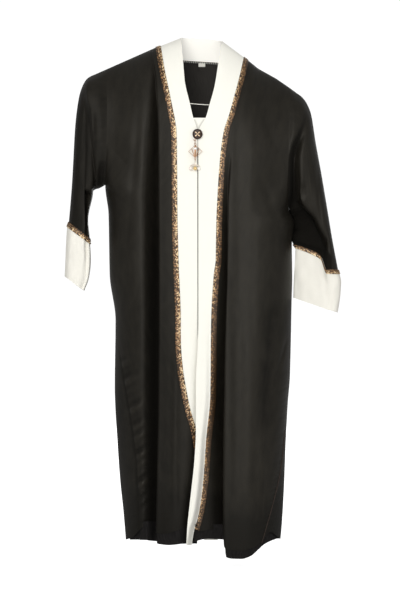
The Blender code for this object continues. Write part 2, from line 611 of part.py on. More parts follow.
def back_grid():
    """The back's grid, from the left side seam round behind to the right one."""
    def columns(y):
        y_left, y_right = y[:, :1], y[:, -1:]
        left, right = OUTLINE_LEFT(y_left), OUTLINE_RIGHT(y_right)
        parts = np.linspace(0, 1, 7)[:-1]
        start_left = np.arccos(1 - np.clip((side_seam(-1, y_left) - left) / SIDE_ROUND, 0, 1))
        start_right = np.arccos(1 - np.clip((right - side_seam(1, y_right)) / SIDE_ROUND, 0, 1))
        turn_left = start_left + (-math.pi / 2 - start_left) * parts
        turn_right = start_right + (-math.pi / 2 - start_right) * parts[::-1]
        side_left = left + SIDE_ROUND * (1 - np.cos(turn_left)) + 1j * np.sign(turn_left)
        side_right = right - SIDE_ROUND * (1 - np.cos(turn_right)) + 1j * np.sign(turn_right)
        level = ease((y[:, 8:9] - 70) / 200)
        plain = between(left + SIDE_ROUND, right - SIDE_ROUND, np.linspace(0, 1, len(BACK_COLUMNS)))
        across = BACK_COLUMNS + (plain - BACK_COLUMNS) * level
        return np.concatenate([side_left, across - 1j, side_right], axis=1)

    return columns


def back_hem(x):
    """Hem of the back: level behind, and rising to both side seams where it comes round to the front."""
    return np.where(x.imag >= 0, np.where(x.real < MIDDLE_X, HEM_LEFT(x.real), HEM_RIGHT(x.real)), 538.6)


def body_back(satin):
    """The back, which comes round to the front below on both sides."""
    columns = back_grid()

    def top(x):
        neck = (x.real > NECK_COLUMNS[0]) & (x.real < NECK_COLUMNS[-1])
        return np.where(neck, NECKLINE(x.real), RIDGE(x.real))

    y = np.linspace(60, 530, ROWS)[:, None] * np.ones(len(BACK_COLUMNS) + 12)
    for _ in range(12):
        x = columns(y)
        top_y, arm_y, hem_y = top(x), ARMPIT(x.real), back_hem(x)
        part_upper = np.append(UPPER, np.ones(len(LOWER)))[:, None]
        part_lower = np.append(np.zeros(len(UPPER)), LOWER)[:, None]
        y = top_y + part_upper * (arm_y - top_y) + part_lower * (hem_y - arm_y)
    x = columns(y)
    behind = -stand_off(x.real, y, BACK_OUT, BACK_FALL) + soft_folds(SOFT_BACK, x.real, y)
    before = stand_off(x.real, y, FRONT_OUT, FRONT_FALL)
    points = place(x.real, y, np.where(x.imag > 0, before, behind))
    normals = -normals_of(points, False)
    arm = len(UPPER)
    on_neck = (x[0].real > NECK_COLUMNS[0]) & (x[0].real < NECK_COLUMNS[-1])
    normals[0] = ridge_normals(x[0].real)
    with_ends = np.flatnonzero((x[0].real >= NECK_COLUMNS[0]) & (x[0].real <= NECK_COLUMNS[-1]))
    normals[0, with_ends[1:-1]] = level_normals(points[0, with_ends], 1)[1:-1]
    for edge, side in ((0, -1), (-1, 1)):
        normals[1:arm - 1, edge] = armhole_normals(points[:arm, edge], armhole_centre(side))[1:-1]
        normals[arm - 1:, edge] = seam_normal(side, y[arm - 1:, edge])
        points = move_in(points, edge, arm - 1, SEAM / 2)
    points[0, ~on_neck, 1] += SEAM / 2
    points[0, on_neck, 2] -= SEAM / 2
    return wall("back", points, SATIN, satin, normals)


def back_collar(white):
    """The band's stretch round the back of the neck, from its sewn edge up to its free edge."""
    rows = np.array(COLLAR_EDGE)
    sewn_x = rows[:, 0]
    inside = (sewn_x > sewn_x[0]) & (sewn_x < sewn_x[-1])
    sewn_y = np.where(inside, NECKLINE(sewn_x), RIDGE(sewn_x))
    sewn = place(sewn_x, sewn_y, -stand_off(sewn_x, sewn_y, BACK_OUT, BACK_FALL))
    free = place(rows[:, 1], rows[:, 2], rows[:, 3])
    sewn[[0, -1], 1] = 0
    free[[0, -1], 1] = 0
    parts = np.linspace(0, 1, 4)[:, None, None]
    points = sewn + (free - sewn) * parts
    points[1:-1, 1:-1, 1] += 0.002
    normals = normals_of(points, False)
    normals = normals * np.sign(normals[1, 5, 1])
    normals[0, 1:-1] = level_normals(points[0], 1)[1:-1]
    points[0, :, 2] += SEAM / 2
    points[0, :2, 0] += 2 * SEAM
    points[0, -2:, 0] -= 2 * SEAM
    for end in (0, -1):
        across = unit(points[-1, end] - points[0, end])
        up = np.cross(across, [0.0, 1.0, 0.0])
        normals[:, end] = up * np.sign(up[2])
        points[:, end, 1] += SEAM / 2
    return wall("collar_back", points, BAND, white, normals)


def ring_parts(fold_at_column):
    """For each column of a ring's front: its stretch, 0 to 2, and its part of that stretch."""
    k = UPPER
    fold, under = k[fold_at_column], k[fold_at_column + 1]
    stretch = np.where(k <= fold, 0, np.where(k >= under, 2, 1))
    part = np.where(k <= fold, k / fold, np.where(k >= under, (k - under) / (1 - under), 0))
    return stretch, part


def ring_front(ring, fold_at_column):
    """Places, heights and depths of a ring's front, from its outer to its inner corner."""
    stretch, part = ring_parts(fold_at_column)
    ends = np.array([ring.outer, ring.fold, ring.under, ring.inner], float)
    flat = ends[stretch] + (ends[np.minimum(stretch + 1, 3)] - ends[stretch]) * part[:, None]
    oval = 2 * np.sqrt(UPPER * (1 - UPPER))
    out = ring.front * oval
    out = out - np.where(stretch == 2, ring.step, 0) * np.sqrt(oval)
    out[fold_at_column] -= ring.crease
    behind = ring.aside * UPPER ** 4
    return flat, out - behind, ring.back * oval + behind


def tube_points(x, y, out, back):
    """Closed rings in metres: the front from outer to inner, then the back from inner to outer."""
    front = place(x, y, out)
    behind = place(x[:, -2:0:-1], y[:, -2:0:-1], -back[:, -2:0:-1])
    return np.concatenate([front, behind], axis=1)


def armhole_ring(side):
    """The sleeve's first ring: the armhole's own points on the front and the back."""
    outline, top, foot = (OUTLINE_LEFT, 69.1, 185.0) if side < 0 else (OUTLINE_RIGHT, 88.1, 208.0)
    y = top + UPPER * (foot - top)
    x = outline(y)
    out = stand_off(x, y, FRONT_OUT, FRONT_FALL)
    back = stand_off(x, y, BACK_OUT, BACK_FALL)
    return x, y, out, back


def sleeve(name, rings, fold_at_column, side, satin):
    """A sleeve: a tube from the armhole over the shoulder's tip and down to the cuff."""
    x0, y0, out0, back0 = armhole_ring(side)
    fronts, outs, backs = zip(*[ring_front(ring, fold_at_column) for ring in rings])
    flat = np.concatenate([np.stack([x0, y0], axis=-1)[None], np.array(fronts)])
    out = np.concatenate([out0[None], np.array(outs)])
    back = np.concatenate([back0[None], np.array(backs)])
    station = np.arange(len(flat))
    fine = np.linspace(0, len(flat) - 1, (len(flat) - 1) * 2 + 1)

    def spread(values):
        lines = [curve(*zip(station, values[:, k]))(fine) for k in range(values.shape[1])]
        return np.stack(lines, axis=1)

    x, y, out, back = (spread(v) for v in (flat[..., 0], flat[..., 1], out, back))
    if side > 0:
        near = np.exp(-((x - ARM_FURROW(y)) / ARM_FURROW_WIDE) ** 2) * (y > 110) * (y < 212)
        out = out - ARM_FURROW_DEEP(y) * near * ease(fine / 1.0)[:, None]
    points = tube_points(x, y, out, back)
    normals = normals_of(points, True)
    flip = np.sign(np.sum(normals[4, 4] * [0.0, -1.0, 0.0]))
    normals = normals * flip
    first = points[0]
    loop = np.concatenate([first[-1:], first, first[:1]])
    radial = armhole_normals(loop, armhole_centre(side))[1:-1]
    normals[0] = radial
    if side > 0:
        k = len(UPPER) - 1
        corner = points[1:, k]
        normals[1:, k] = -2.2 * unit(unit(points[1:, k - 1] - corner) + unit(points[1:, k + 1] - corner))
    points[0, :, 0] += side * SEAM
    wall(name, points, SATIN, satin, normals, closed=True)
    return x[-1], y[-1], out[-1], back[-1], normals[-1]


def cuff(name, rings, fold_at_column, top, white, copper):
    """A white cuff from the sleeve's end down, and the braid that lies over its top."""
    fronts, outs, backs = zip(*[ring_front(ring, fold_at_column) for ring in rings])
    x = np.concatenate([top[0][None], np.array(fronts)[..., 0]])
    y = np.concatenate([top[1][None], np.array(fronts)[..., 1]])
    out = np.concatenate([top[2][None], np.array(outs)])
    back = np.concatenate([top[3][None], np.array(backs)])
    points = tube_points(x, y, out, back)
    normals = normals_of(points, True)
    normals = normals * np.sign(np.sum(normals[2, 4] * [0.0, -1.0, 0.0]))
    normals[0] = top[4]
    points[0] += unit(points[1] - points[0]) * 4 * SEAM
    piece = wall(name, points, BAND, white, normals, closed=True)
    braid_points = points[:2].copy()
    braid_normals = normals[:2].copy()
    braid_points[0] += (points[1] - points[0]) * 0.03
    wall(name.replace("cuff", "braid_cuff"), braid_points, BRAID, copper, braid_normals, closed=True,
         lift=BRAID + 2.2 * SEAM)
    return piece


def sleeves(satin, white, copper):
    """Both sleeves with their cuffs."""
    end = sleeve("sleeve_left", SLEEVE_LEFT, FOLD_AT_LEFT, -1, satin)
    cuff("cuff_left", CUFF_LEFT, FOLD_AT_LEFT, end, white, copper)
    end = sleeve("sleeve_right", SLEEVE_RIGHT, FOLD_AT_RIGHT, 1, satin)
    cuff("cuff_right", CUFF_RIGHT, FOLD_AT_RIGHT, end, white, copper)


def hem_strip(name, surface, columns, end, hem, foot, matte):
    """A matte strip behind the satin's lower edge, at the satin's own columns, which shows below it."""
    x, _ = settle(columns, RIDGE, hem)
    x = x[-1]
    if end < x[0]:
        x = np.concatenate([np.linspace(end, x[0], 6)[:-1], x[:-1]])
    else:
        x = np.concatenate([x, np.linspace(x[-1], end, 6)[1:]])
    upper = hem(x) - UNDER_LAP
    y = upper + (foot(x) - upper) * np.linspace(0, 1, 4)[:, None]
    by_band = np.clip((x[0] + 10 - x) / 2, 0, 1) * (end > x[0])
    x = np.broadcast_to(x, y.shape).copy()
    if end > x[0, 0]:
        x[:, 0] = BAND_RIGHT(y[:, 0]) + 0.4
    points = surface(x, y)
    round_side = np.clip(np.maximum(SEAM_LEFT(y) - x, x - SEAM_RIGHT(y)) / 2, 0, 1)
    under = (SATIN + UNDER_GAP + ROUND_GAP * np.maximum(round_side, by_band))[..., None]
    return wall(name, points, SATIN, matte, lift=-under)


def patch(name, box, out, thick, finish, lift):
    """A small flat cloth piece that lies behind another: the same plain surface, moved in."""
    x = np.linspace(box.left, box.right, 5)[None, :] * np.ones((4, 1))
    y = np.linspace(box.top, box.foot, 4)[:, None] * np.ones((1, 5))
    return wall(name, place(x, y, out(x, y)), thick, finish, lift=lift)


def small_cloth(satin_matte, white):
    """The strips under both hems, the tab behind the button, the blank tag and the hanging tape."""
    hem_strip("hem_strip_left", left_front, left_columns, 127.6, HEM_LEFT, STRIP_LEFT, satin_matte)
    hem_strip("hem_strip_right", right_front, right_columns, 278.8, HEM_RIGHT, STRIP_RIGHT, satin_matte)
    patch("under_tab", TAB, lambda x, y: stand_off(x, y, FRONT_OUT, FRONT_FALL), SATIN, white,
          -(BAND + TAB_GAP))
    patch("neck_tag", TAG, lambda x, y: -stand_off(x, y, BACK_OUT, BACK_FALL) + 1.35, 0.0010, white, 0.0)
    x = np.linspace(TAPE.left, TAPE.right, 5)
    middle = np.linspace(TAPE.top, TAPE.foot, 5)
    y = np.stack([middle - TAPE_WIDE / 2, middle + TAPE_WIDE / 2])
    wall("hanging_tape", place(x[None, :] * np.ones((2, 1)), y, TAPE_OUT), 0.0012, white)


def turned(name, at, outline, sides, finish):
    """A round piece that faces the front, from (radius, depth) pairs that start and end on its axis."""
    angle = np.linspace(0, 2 * math.pi, sides, endpoint=False)
    verts = [place(at[0], at[1], outline[0][1])]
    for radius, out in outline[1:-1]:
        verts.extend(place(at[0] + radius * np.cos(angle), at[1] + radius * np.sin(angle), out))
    verts.append(place(at[0], at[1], outline[-1][1]))
    rings = len(outline) - 2
    last = 1 + rings * sides
    faces = []
    for k in range(sides):
        n = (k + 1) % sides
        faces.append([0, 1 + k, 1 + n])
        faces.extend([1 + r * sides + k, 1 + (r + 1) * sides + k, 1 + (r + 1) * sides + n, 1 + r * sides + n]
                     for r in range(rings - 1))
        faces.append([last, last - sides + n, last - sides + k])
    return solid(name, verts, faces, finish)


def wire_ring(name, at, half_long, half_wide, upright, finish):
    """A ring of round wire: upright rings stand edge-on to the viewer, the others face the front."""
    along, around = 14, 6
    turn = np.linspace(0, 2 * math.pi, along, endpoint=False)[:, None]
    spin = np.linspace(0, 2 * math.pi, around, endpoint=False)[None, :]
    reach = WIRE * np.cos(spin)
    high = (half_long + reach) * np.cos(turn)
    wide = (half_wide + reach) * np.sin(turn)
    off = WIRE * np.sin(spin) * np.ones_like(turn)
    x, out = (off, wide) if upright else (wide, off)
    verts = place(at[0] + x, at[1] + high, CHARM_OUT + out).reshape(-1, 3)
    faces = []
    for i in range(along):
        for k in range(around):
            n, m = (i + 1) % along, (k + 1) % around
            faces.append([i * around + k, n * around + k, n * around + m, i * around + m])
    return solid(name, verts, faces, finish)


def inset(corner, wide):
    """The hole of a cell: its corners moved in by the same distance from both of their sides."""
    before, after = np.roll(corner, 1, axis=0), np.roll(corner, -1, axis=0)
    middle = corner.mean(axis=0)
    hole = []
    for p, q, r in zip(before, corner, after):
        normals = []
        for a, b in ((p, q), (q, r)):
            n = np.array([b[1] - a[1], a[0] - b[0]])
            n = n / np.linalg.norm(n)
            normals.append(n * np.sign(np.dot(middle - a, n)))
        level = [np.dot(n, q) + wide for n in normals]
        hole.append(np.linalg.solve(np.array(normals), np.array(level)))
    return np.array(hole)


def plate(name, corner, open_cells, full_cells, finish):
    """A flat piece of bars: cells with a hole each, cells without, all in one closed solid."""
    names = list(corner)
    flat = [corner[n] for n in names]
    tops, edges = [], {}
    for cell in open_cells + full_cells:
        index = [names.index(n) for n in cell]
        sides = list(zip(index, index[1:] + index[:1]))
        for a, b in sides:
            edges.setdefault(frozenset((a, b)), []).append((a, b))
        if cell in full_cells:
            tops.append(index)
            continue
        start = len(flat)
        flat.extend(inset(np.array([corner[n] for n in cell], float), BAR))
        ring = list(range(start, start + len(index)))
        for k, (a, b) in enumerate(sides):
            tops.append([a, b, ring[(k + 1) % len(ring)], ring[k]])
        for a, b in zip(ring, ring[1:] + ring[:1]):
            edges[frozenset((a, b))] = [(a, b)]
    x, y = np.array(flat, float).T
    verts = np.concatenate([place(x, y, CHARM_OUT + PLATE / 2), place(x, y, CHARM_OUT - PLATE / 2)])
    count = len(flat)
    faces = tops + [[v + count for v in reversed(face)] for face in tops]
    faces += [[a, b, b + count, a + count] for (a, b), *more in edges.values() if not more]
    piece = solid(name, verts, faces, finish)
    piece.data.shade_flat()
    return piece


def charm(gold, stone, dark, pearl):
    """The button, and the charm that hangs from it."""
    turned("button", BUTTON, BUTTON_TURN, 20, dark)
    wire_ring("charm_eye", EYE_AT, EYE_RADIUS, EYE_RADIUS, False, gold)
    wire_ring("charm_link", (195.0, (LINK_TOP + LINK_FOOT) / 2), (LINK_FOOT - LINK_TOP) / 2, 1.0, True, gold)
    plate("charm_diamond", DIAMOND, DIAMOND_OPEN, DIAMOND_FULL, gold)
    turned("charm_crystal", (195.35, 148.5), CRYSTAL, 8, stone)
    wire_ring("drop_link", (195.1, (DROP_LINK_TOP + DROP_LINK_FOOT) / 2), (DROP_LINK_FOOT - DROP_LINK_TOP) / 2,
              1.0, True, gold)
    plate("drop_bail", DROP, DROP_OPEN, DROP_FULL, gold)
    half = np.linspace(0, math.pi, 9)
    for row in PEARLS:
        outline = [(row.radius * math.sin(a), row.out - row.radius * math.cos(a)) for a in half]
        turned(row.name, (row.x, row.y), outline, 14, pearl[row.name])


def main():
    """Clears the scene and builds every piece."""
    for old in list(bpy.data.objects):
        bpy.data.objects.remove(old, do_unlink=True)
    satin = material("black_satin", (0.022, 0.021, 0.019), 0.42)
    matte = material("black_matte", (0.030, 0.028, 0.030), 0.8)
    white = material("ivory_cloth", (0.93, 0.91, 0.85), 0.7)
    copper = material("copper_braid", (0.45, 0.27, 0.14), 0.45, 0.5)
    gold = material("gold_metal", (0.80, 0.66, 0.45), 0.3, 1.0)
    stone = material("clear_stone", (0.92, 0.93, 0.95), 0.1)
    dark = material("dark_button", (0.03, 0.022, 0.018), 0.25)
    pearls = {
        "pearl_gold": material("gold_pearl", (0.62, 0.42, 0.20), 0.25),
        "pearl_white": material("white_pearl", (0.90, 0.88, 0.84), 0.25),
        "pearl_rose": material("rose_pearl", (0.85, 0.76, 0.70), 0.25),
    }
    body_fronts(satin, white, copper)
    body_back(satin)
    back_collar(white)
    sleeves(satin, white, copper)
    small_cloth(matte, white)
    charm(gold, stone, dark, pearls)


main()
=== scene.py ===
"""Looks of a long open-front robe: black satin with ivory front bands and cuffs, copper braid and a charm.

Every cloth piece is a fine grid of points worked out from the robe's cut. The cut is drawn on a plain grid
of steps: x counts to the right, y counts down and out counts towards the viewer. place() turns steps into
metres. Metres are used everywhere else.
"""

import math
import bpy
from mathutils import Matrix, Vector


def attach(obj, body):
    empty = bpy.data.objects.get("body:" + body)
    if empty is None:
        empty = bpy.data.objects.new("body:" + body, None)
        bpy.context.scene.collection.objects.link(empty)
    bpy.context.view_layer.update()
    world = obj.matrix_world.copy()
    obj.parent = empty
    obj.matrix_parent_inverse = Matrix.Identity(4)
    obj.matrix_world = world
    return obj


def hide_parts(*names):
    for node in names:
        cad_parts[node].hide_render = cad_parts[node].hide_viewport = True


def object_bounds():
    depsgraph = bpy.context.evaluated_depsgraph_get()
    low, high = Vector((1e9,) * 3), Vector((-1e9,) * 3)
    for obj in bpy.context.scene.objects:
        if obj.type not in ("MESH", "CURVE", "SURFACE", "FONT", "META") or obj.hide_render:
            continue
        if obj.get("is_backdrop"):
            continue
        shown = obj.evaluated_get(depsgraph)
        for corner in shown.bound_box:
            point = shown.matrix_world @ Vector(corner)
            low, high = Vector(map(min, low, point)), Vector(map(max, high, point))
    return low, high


bl_info = {
    "name": "Satin robe with ivory bands",
    "version": (1, 0, 0),
    "blender": (4, 5, 0),
    "location": "3D View > Sidebar > Robe",
    "description": "Builds a long black satin robe with ivory bands, copper braid, a button and a charm",
    "category": "Object",
}

from collections import namedtuple

import bmesh
import bpy
import numpy as np
from bpy.props import FloatProperty, FloatVectorProperty, PointerProperty

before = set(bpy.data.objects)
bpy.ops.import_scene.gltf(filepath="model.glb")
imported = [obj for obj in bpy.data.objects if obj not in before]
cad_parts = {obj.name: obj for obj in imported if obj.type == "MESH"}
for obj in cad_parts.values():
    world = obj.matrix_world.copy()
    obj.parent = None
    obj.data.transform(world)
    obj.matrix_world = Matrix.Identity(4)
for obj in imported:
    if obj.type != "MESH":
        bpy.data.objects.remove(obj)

# The grid of steps, and the eye that sees the robe at full height
STEP = 0.0026
VIEWER_M = 4.2
VIEWER = VIEWER_M / STEP
MIDDLE_X = 200.0
LEVEL_Y = 300.0
HOLD_Y = 53.0
PICTURE_HIGH = 600

# Seams, gaps and thin bases, in metres
SEAM = 0.0003
UNDER_GAP = 0.0014
ROUND_GAP = 0.0032
TAB_GAP = 0.0014
BRAID_BASE = 0.0005
FINE_BASE = 0.0004
SOFT_EDGE = 0.00012

# The hollow, in steps: how far the cloth stands off the middle plane, and how fast it gets there
FRONT_OUT = 40.0
FRONT_FALL = 88.0
BACK_OUT = 36.0
BACK_FALL = 70.0
SIDE_ROUND = 38.0
ARMHOLE_OUT = 30.0
BRAID_WIDE = 5.4
UNDER_LAP = 5.0

# Height over which painted shade darkens the satin towards its hem, in steps
HEM_SHADE_RISE = 52.0

# Height at which the side seams' puckers start, and over which the armhole's form fades out, in steps
KNEE = 340.0
ARM_FADE = 40.0

# Height of the back's hem, in steps
BACK_HEM = 538.6

# Length of one stitch of the braid and of the collar's seam, in metres
STITCH = 0.0024

# Rows of the fine grids, above and below the armhole's foot
ROWS_ABOVE = 90
ROWS_BELOW = 210
BRAID_ROWS = (390, 1170)

# Sleeves and cuffs: points round a ring, their turns, fine rings for each coarse one, and the number of the
# first coarse ring that is fully square
TUBE_COLUMNS = 112
TUBE_TURN = np.linspace(0, 2 * math.pi, TUBE_COLUMNS, endpoint=False)
TUBE_STEPS = 14
SQUARE_RING = 4

# An edge that turns by more than this, in radians, isn't smoothed
SHARP = 1.2

# The floor: how far below the robe it lies and how far it reaches, in metres
FLOOR_GAP = 0.03
FLOOR_REACH = 30.0


def curve(*points):
    """A smooth line through (place, value) points: a cubic whose slopes keep it between its neighbours."""
    at, value = np.array(points, float).T
    return lambda x: through(at, value, x)


def through(station, values, at):
    """Rows of a table read between its stations, by a cubic whose slopes are the rises' harmonic mean."""
    at = np.clip(at, station[0], station[-1])
    step = np.diff(station)
    rise = np.diff(values, axis=0) / step.reshape((-1,) + (1,) * (values.ndim - 1))
    slope = np.concatenate([rise[:1], np.zeros_like(rise[1:]), rise[-1:]])
    before, after = rise[:-1], rise[1:]
    both = before * after > 0
    slope[1:-1] = np.where(both, 2 * before * after / np.where(both, before + after, 1), 0)
    k = np.clip(np.searchsorted(station, at, side="right") - 1, 0, len(step) - 1)
    wide, t = step[k], (at - station[k]) / step[k]
    if values.ndim > 1:
        wide, t = (v.reshape(v.shape + (1,) * (values.ndim - 1)) for v in (wide, t))
    ends = values[k] * (1 + 2 * t) * (1 - t) ** 2 + values[k + 1] * t ** 2 * (3 - 2 * t)
    return ends + wide * (slope[k] * t * (1 - t) ** 2 - slope[k + 1] * t ** 2 * (1 - t))


def corners(*points):
    """A line through (place, value) points with straight stretches and sharp corners."""
    at, value = np.array(points, float).T
    return lambda x: np.interp(x, at, value)


# Lines that run across: height y at each x
RIDGE = corners((85.8, 80.1), (88, 77.5), (156, 47.4), (160.7, 46), (181, 38), (222, 41), (243.6, 57),
                (250, 61.9), (258, 68.5), (276, 78.5), (290, 88.1), (308, 101.5))
NECKLINE = curve((152, 49), (157, 46.9), (160.7, 46.4), (164, 52), (169, 56.5), (177, 59.4), (187, 60.6),
                 (201, 61.6), (215, 62.4), (227, 63.2), (237, 63.4), (243.5, 62.4), (248, 60.8),
                 (252, 63.5))
ARMPIT = corners((105.2, 185), (288.5, 208))
HEM_LEFT = curve((126.3, 539.5), (132.3, 537.2), (139.5, 530.5), (143, 527), (150, 526.5), (152.5, 527.5),
                 (154.5, 532), (157, 533.4), (163, 533.8), (174.4, 531.5), (186.8, 526.7), (200, 524),
                 (218, 522))
HEM_RIGHT = curve((186, 528), (194, 528.2), (201, 531.5), (208.8, 529.6), (217.5, 529.5), (219.5, 532),
                  (222.3, 545), (226, 549), (233, 550.4), (241.3, 550.6), (252.8, 548), (262.4, 541),
                  (266, 533.5), (270.5, 531.9), (280, 538.7))
STRIP_LEFT = curve((127, 540), (145.7, 540.3), (152, 541.5), (157, 544), (168.6, 545.3), (183.9, 544),
                   (192, 543.8))
STRIP_RIGHT = curve((192, 543.4), (198, 541), (208, 539), (217, 540), (219.5, 543), (222.3, 553.5),
                    (225, 557.3), (233, 559), (241.3, 559.2), (250.9, 556.4), (260.4, 548.7),
                    (270, 542.6), (279, 539))

# Lines that run down: place x at each height
OUTLINE_LEFT = curve((69, 107), (120, 107), (165, 106.3), (185, 105.2), (214, 108.5), (275, 109.7),
                     (320, 115.5), (386, 114.7), (443, 117.5), (482, 120.3), (510, 123.3), (545, 126.2))
OUTLINE_RIGHT = curve((88, 290), (133, 289), (190, 288), (208, 288.5), (223, 294.0), (240, 291.9),
                      (276, 292.3), (300, 291.7), (376, 290.0), (405, 287.7), (443, 285.8), (482, 284.3),
                      (520, 282.2), (545, 280))
SEAM_LEFT = curve((185, 105.2), (250, 109.4), (300, 114.2), (345, 118.5), (363, 121), (424, 131.5),
                  (463, 136.3), (507, 138.6), (545, 139.5))
SEAM_RIGHT = curve((208, 288.5), (223, 293.8), (240, 291.5), (300, 290.8), (338, 289), (400, 286.2),
                   (440, 284), (468, 281), (505, 272.6), (525, 267), (541, 262.4), (560, 258))
BAND_LEFT = curve((46, 160.7), (71, 164.9), (99, 170.7), (134, 176.5), (160, 176.9), (217, 177.4),
                  (268, 178.7), (315, 180.6), (342, 180.8), (369, 182.9), (392, 186.7), (411, 190.6),
                  (430, 195.9), (460, 200.5), (500, 203), (545, 204))
EDGE_LEFT = curve((38, 181), (60, 183), (81, 184.8), (103, 189.8), (117, 193.1), (130, 197), (137, 197.3),
                  (330, 197.6), (392, 203.5), (430, 211), (460, 215), (545, 218))
EDGE_RIGHT = curve((41, 222), (60, 218.8), (86, 214.6), (104, 209.7), (117, 205.9), (130, 199),
                   (137, 198.3), (320, 198.3), (350, 197.5), (381, 195.9), (430, 195.9), (460, 194.4),
                   (490, 191.3), (505, 189.6), (527, 187.3), (545, 186.2))
BAND_RIGHT = curve((57, 243.6), (76, 239.5), (95, 234.5), (113, 229.6), (132, 223.7), (160, 220),
                   (195, 217.6), (225, 216.3), (260, 215.7), (275, 213.8), (320, 211.2), (395, 210.2),
                   (440, 205.9), (470, 203.9), (490, 202), (505, 200), (520, 197), (528, 194.4),
                   (545, 191.6))

# How far the left front tucks under the right one, and how far the right band bends back, at each height
TUCK = curve((296, 0), (312, 4), (345, 8), (400, 13), (430, 17), (460, 21), (500, 24), (560, 24))
BEND = curve((300, 0), (380, 3), (440, 7), (480, 11), (520, 13), (560, 13))

# The two deep folds, one column each: height, the crest that hangs over the fold, its width, depth and lean
FOLD_LEFT = np.array((
    (50, 151.0, 1.1, 0.0, 0.0), (76, 154.9, 2.0, 3.5, 1.0), (100, 156.3, 2.3, 7.0, 1.6),
    (126, 157.8, 2.6, 10.0, 2.0), (230, 158.7, 3.5, 15.0, 2.0), (330, 158.9, 3.5, 16.0, 2.0),
    (420, 158.1, 3.1, 16.0, 2.0), (500, 156.4, 2.5, 15.0, 2.0), (560, 155.4, 2.4, 13.0, 2.0))).T
FOLD_RIGHT = np.array((
    (57, 255.0, 2.0, 0.0, 0.0), (76, 251.5, 2.0, 0.0, 0.2), (95, 246.5, 2.0, 0.0, 0.2),
    (113, 241.0, 2.0, 0.0, 0.2), (132, 235.0, 2.0, 0.0, 0.2), (152, 230.4, 2.0, 0.0, 0.2),
    (175, 228.2, 2.0, 1.5, 0.5), (200, 227.0, 2.0, 4.0, 1.2), (240, 227.2, 2.2, 8.0, 1.8),
    (280, 227.0, 2.4, 10.0, 2.0), (340, 225.0, 2.8, 12.0, 2.0), (400, 223.8, 3.4, 14.0, 2.0),
    (440, 223.0, 3.8, 15.0, 2.0), (480, 222.6, 4.2, 16.0, 2.0), (530, 222.9, 4.2, 15.0, 2.0),
    (560, 224.6, 4.2, 14.0, 2.0))).T
FOLD_SPAN = 2.5
OVERHANG = 1.67

# Soft folds: a line of (height, place) points, the half width and the depth. A ridge has a depth below 0.
Furrow = namedtuple("Furrow", "line wide deep")
SOFT_FRONT = (
    Furrow(((85, 141), (290, 123)), 4.0, 0.9),
    Furrow(((330, 176), (545, 175)), 4.0, 1.8),
    Furrow(((85, 258), (155, 277)), 5.0, 0.9),
    Furrow(((175, 262), (245, 285)), 5.0, 1.1),
    Furrow(((200, 240), (500, 236)), 8.0, 0.8),
    Furrow(((250, 278), (470, 268)), 8.0, 1.8),
)
SOFT_BACK = (
    Furrow(((110, 158), (620, 150)), 9.0, 7.0),
    Furrow(((150, 203), (620, 200)), 10.0, 6.0),
    Furrow(((120, 246), (620, 254)), 9.0, 7.0),
)

# Finer forms of the cloth than the solids have, in steps: creases, dents and ridges that show on the fronts
DETAIL_LEFT = (
    Furrow(((60, 153.5), (126, 152), (200, 150), (700, 149.5)), 4.6, 6.5),
    Furrow(((150, 114), (166, 127)), 2.4, 0.35),
    Furrow(((395, 175), (525, 174.5)), 1.3, 0.7),
)
DETAIL_RIGHT = (
    Furrow(((325, 219), (400, 218), (700, 215)), 4.0, 8.0),
    Furrow(((310, 272), (346, 268)), 6.0, 1.6),
    Furrow(((356, 268), (420, 264)), 6.0, 1.8),
    Furrow(((334, 288), (382, 275)), 1.7, 1.3),
    Furrow(((430, 262), (500, 262)), 4.0, -1.2),
    Furrow(((120, 232), (300, 234)), 4.0, -0.4),
    Furrow(((300, 248), (520, 249)), 6.0, -0.7),
    Furrow(((300, 231), (520, 230)), 3.0, -0.5),
)

# Painted shade on the satin, which also roughens its gloss: lines of (height, place), the half width and how
# much
PAINTED_SHADE_LEFT = (
    Furrow(((340, 116), (700, 124)), 7.0, 0.32),
    Furrow(((480, 150), (760, 150)), 90.0, 0.3),
    Furrow(((150, 151), (700, 150.5)), 3.6, 0.5),
    Furrow(((40, 163), (120, 164), (700, 164)), 7.0, 0.25),
    Furrow(((220, 145), (900, 145)), 45.0, 0.22),
)
PAINTED_SHADE_RIGHT = (
    Furrow(((296, 272), (358, 268)), 7.0, 0.48),
    Furrow(((344, 268), (440, 264)), 7.0, 0.55),
    Furrow(((470, 250), (760, 250)), 60.0, 0.4),
    Furrow(((420, 288), (700, 284)), 12.0, 0.4),
    # These two rows are below 0 and paint a highlight instead of shade
    Furrow(((60, 262), (400, 262)), 26.0, -0.10),
    Furrow(((300, 255), (800, 262)), 22.0, -0.20),
)
PAINTED_SHADE_SLEEVE_LEFT = (
    Furrow(((40, 79), (120, 78), (420, 73)), 9.0, 0.55),
    Furrow(((158, 103), (188, 100)), 4.5, 0.6),
    Furrow(((72, 101), (185, 101)), 9.0, 0.26),
    Furrow(((95, 89), (200, 88.5)), 4.0, 0.28),
)
# Painted shade on the right sleeve, between these two lines: the armhole's valley and the layer under the
# sleeve
ARM_SHADE_FROM = curve((106, 304), (120, 301), (133, 296.5), (148, 290), (157, 287), (170, 285),
                       (260, 280))
UNDER_SLEEVE = curve((106, 309), (120, 307), (133, 303), (150, 299), (161, 295), (171, 296), (190, 297.6),
                     (203, 299), (209.4, 305.8), (217, 312), (229, 318.3), (243, 324.5), (257, 333))

# Creases of the sleeves' fronts
DETAIL_SLEEVE_LEFT = (
    Furrow(((84, 86.5), (120, 85.6), (190, 85.2)), 1.4, 0.8),
    Furrow(((108, 93.6), (151, 93.6), (182, 95.4)), 2.2, 1.5),
    Furrow(((160, 103), (186, 100)), 3.0, 1.5),
)
DETAIL_SLEEVE_RIGHT = (
    Furrow(((184, 303), (200, 303)), 3.0, 2.0),
    Furrow(((120, 309), (200, 310)), 4.0, -0.8),
    Furrow(((150, 317.9), (202, 318.5), (230, 323)), 1.8, 1.0),
)

